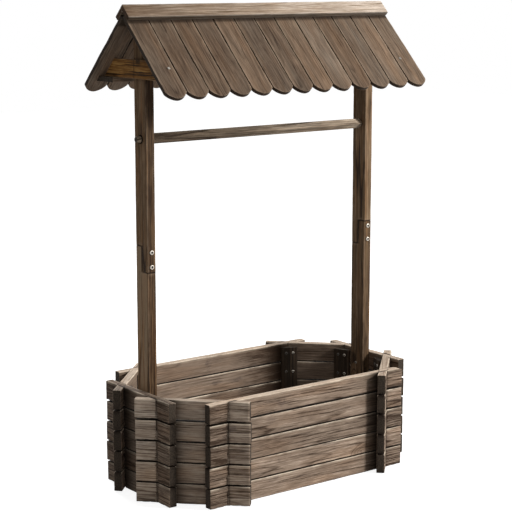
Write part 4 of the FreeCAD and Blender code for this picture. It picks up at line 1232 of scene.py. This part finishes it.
# a head is turned: the profile swept round the axis, its radius times the recess's shape in the recess.
# outward is the way the head looks; the marks dull the head, and the recess is painted black as shade
def turnedHead(profile, recess, place, outward, grime, steps=24):
    radius, height, share = (column[:, None] for column in np.array(profile, dtype=float).T)
    angle = np.arange(steps) / steps * fullTurn
    ring = radius * (1 - share + share * recess(angle)[None, :])
    points = np.stack(np.broadcast_arrays(height, ring * np.cos(angle), ring * np.sin(angle)), axis=-1)
    part = closedTube(points, np.zeros(ring.shape))
    # painted shade: the recess is black
    dark = np.where(share[:, 0] > 0.5, 1.0, grime)
    allDark = np.concatenate([np.repeat(dark, steps), np.full(steps, grime), np.full(steps, dark[-1]),
                              [grime, dark[-1]]])
    part["endFace"] = np.zeros(len(allDark))
    part["boardTone"] = np.stack([part["endFace"], part["endFace"], allDark], axis=-1)
    part["grainAt"] = part["verts"] * mm
    outward = Vector(outward).normalized()
    first = outward.orthogonal().normalized()
    return moved(part, placed(place, outward, first, outward.cross(first)))


def lapBolts():
    b = lapBolt
    for sideX in (-1, 1):
        for rise in (-1, 1):
            for sideY in (-1, 1):
                place = (sideX * b["out"], sideY * b["face"], b["middle"] + rise * b["spread"])
                yield turnedHead(b["head"], hexagon, place, (0, sideY, 0), b["grime"], b["steps"])


def battenScrews(rng):
    s = woodScrew
    for place in battenPlaces():
        inward = place.to_3x3() @ Vector((0, 1, 0))
        for course in range(walls["courses"]):
            high = course * walls["pitch"] + s["firstHigh"]
            for aside, grimeRange in ((-1, s["leftGrime"]), (1, s["rightGrime"])):
                spot = place @ Vector((aside * s["aside"], s["faceIn"], high))
                yield turnedHead(s["head"], cross, spot, inward, rng.uniform(*grimeRange))


def postScrewsAndNails():
    s, n = woodScrew, roofNail
    for sideX in (-1, 1):
        spots = [(s["postAside"], high, s["postGrime"]) for high in s["postHigh"]]
        spots += [(0, high, s["tieGrime"]) for high in s["tieHigh"]]
        for aside, high, grime in spots:
            yield turnedHead(s["head"], cross, (sideX * s["postFace"], aside, high), (-sideX, 0, 0), grime)
        for front, way in ((True, 1), (False, -1)):
            slope = slopeMatrix(front)
            spot = slope @ Vector((n["down"], sideX * n["out"] * way, 0))
            yield turnedHead(n["head"], noRecess, spot, slope.to_3x3() @ Vector((0, 0, 1)), n["grime"][sideX])


def makeSteel():
    bolts = list(lapBolts())
    screws = [*battenScrews(dice("screws")), *postScrewsAndNails()]
    makePiece("post_bolts", joinedParts(bolts), zincSteel, "lap_bolts", sharp=sharpSteel)
    makePiece("screws_and_nails", joinedParts(screws), zincSteel, "wood_screws", sharp=sharpSteel)
    print("bolt heads:", len(bolts), "screw and nail heads:", len(screws))


makeSteel()


# camera, fitted to the photograph's corners, edges and bolts
view = dict(focal=1584.5, frameWide=512, sensor=36.0, azimuth=37.1997, elevation=10.1149,   # focal: in pixels
            aside=-7.271, up=387.32, height=120.0, distance=3794.55, clip=(0.05, 60))


def makeCamera():
    camera = bpy.data.objects.new("camera", bpy.data.cameras.new("camera"))
    scene.collection.objects.link(camera)
    camera.data.sensor_width = view["sensor"]
    camera.data.lens = view["focal"] * view["sensor"] / view["frameWide"]
    camera.data.clip_start, camera.data.clip_end = view["clip"]
    az, el = math.radians(view["azimuth"]), math.radians(view["elevation"])
    back = Vector((-math.sin(az) * math.cos(el), -math.cos(az) * math.cos(el), math.sin(el)))
    right = Vector((math.cos(az), -math.sin(az), 0))
    upwards = back.cross(right)
    target = Vector((0, 0, view["height"])) + right * view["aside"] + upwards * view["up"]
    camera.location = (target + back * view["distance"]) * mm
    camera.rotation_euler = Matrix((right, upwards, back)).transposed().to_euler()
    scene.camera = camera


# light: a key lamp high on the right, a wide one near the camera, one behind, and a weak even sky
lamps = {
    "key": dict(bearing=38, height=24, away=5.0, size=0.9, power=340.0),
    "front": dict(bearing=-34, height=26, away=5.0, size=1.8, power=42.0),
    "back": dict(bearing=172, height=42, away=3.3, size=1.6, power=90.0),
}
studio = dict(lampsLookAt=(0, 0, 0.5), sky=0.09, floorGrey=0.4, floorHalf=9, floorDrop=0.0005,
              shadowed=(0.5, 1.5, 0.87, 1.0))      # distances, and how white the floor is there


def makeLamps():
    for name, lamp in lamps.items():
        data = bpy.data.lights.new(name, "AREA")
        data.shape = "SQUARE"
        data.size = lamp["size"]
        data.energy = lamp["power"]
        light = bpy.data.objects.new(name, data)
        scene.collection.objects.link(light)
        bearing, height = math.radians(lamp["bearing"]), math.radians(lamp["height"])
        out = Vector((math.sin(bearing) * math.cos(height), -math.cos(bearing) * math.cos(height),
                      math.sin(height)))
        light.location = Vector(studio["lampsLookAt"]) + out * lamp["away"]
        light.rotation_euler = (-out).to_track_quat("-Z", "Y").to_euler()


# 1 for what the camera sees straight, in a reflection or through glass, and 0 for light on the object
def seenRays(tree):
    path = addNode(tree, "ShaderNodeLightPath").outputs
    seen = calc(tree, "MAXIMUM", path["Is Camera Ray"], path["Is Glossy Ray"])
    return calc(tree, "MAXIMUM", seen, path["Is Transmission Ray"])


def makeSky():
    world = bpy.data.worlds.new("studio")
    scene.world = world
    world.use_nodes = True
    tree = world.node_tree
    background = tree.nodes["Background"]
    background.inputs["Color"].default_value = (1, 1, 1, 1)
    tree.links.new(span(tree, seenRays(tree), 0.0, 1.0, studio["sky"], 1.0), background.inputs["Strength"])


# the floor is white where the camera looks past the object's own patch, and a little less under the object
def makeStudioFloor():
    half, grey = studio["floorHalf"], studio["floorGrey"]
    mesh = bpy.data.meshes.new("studio_floor")
    corners = [(-half, -half, 0), (half, -half, 0), (half, half, 0), (-half, half, 0)]
    mesh.from_pydata(corners, [], [(0, 1, 2, 3)])
    floor = bpy.data.objects.new("studio_floor", mesh)
    scene.collection.objects.link(floor)
    floor.location.z = -studio["floorDrop"]
    material, tree, shader = newMaterial("white floor")
    shader.inputs["Base Color"].default_value = (grey, grey, grey, 1)
    shader.inputs["Roughness"].default_value = 0.9
    shader.inputs["Emission Color"].default_value = (1, 1, 1, 1)
    away = vectorCalc(tree, "LENGTH", addNode(tree, "ShaderNodeTexCoord").outputs["Object"])
    white = span(tree, away, *studio["shadowed"], smooth=True)
    tree.links.new(calc(tree, "MULTIPLY", seenRays(tree), white), shader.inputs["Emission Strength"])
    mesh.materials.append(material)


makeCamera()
makeLamps()
makeSky()
makeStudioFloor()
scene.view_settings.view_transform = "Standard"
print("camera and studio ready")
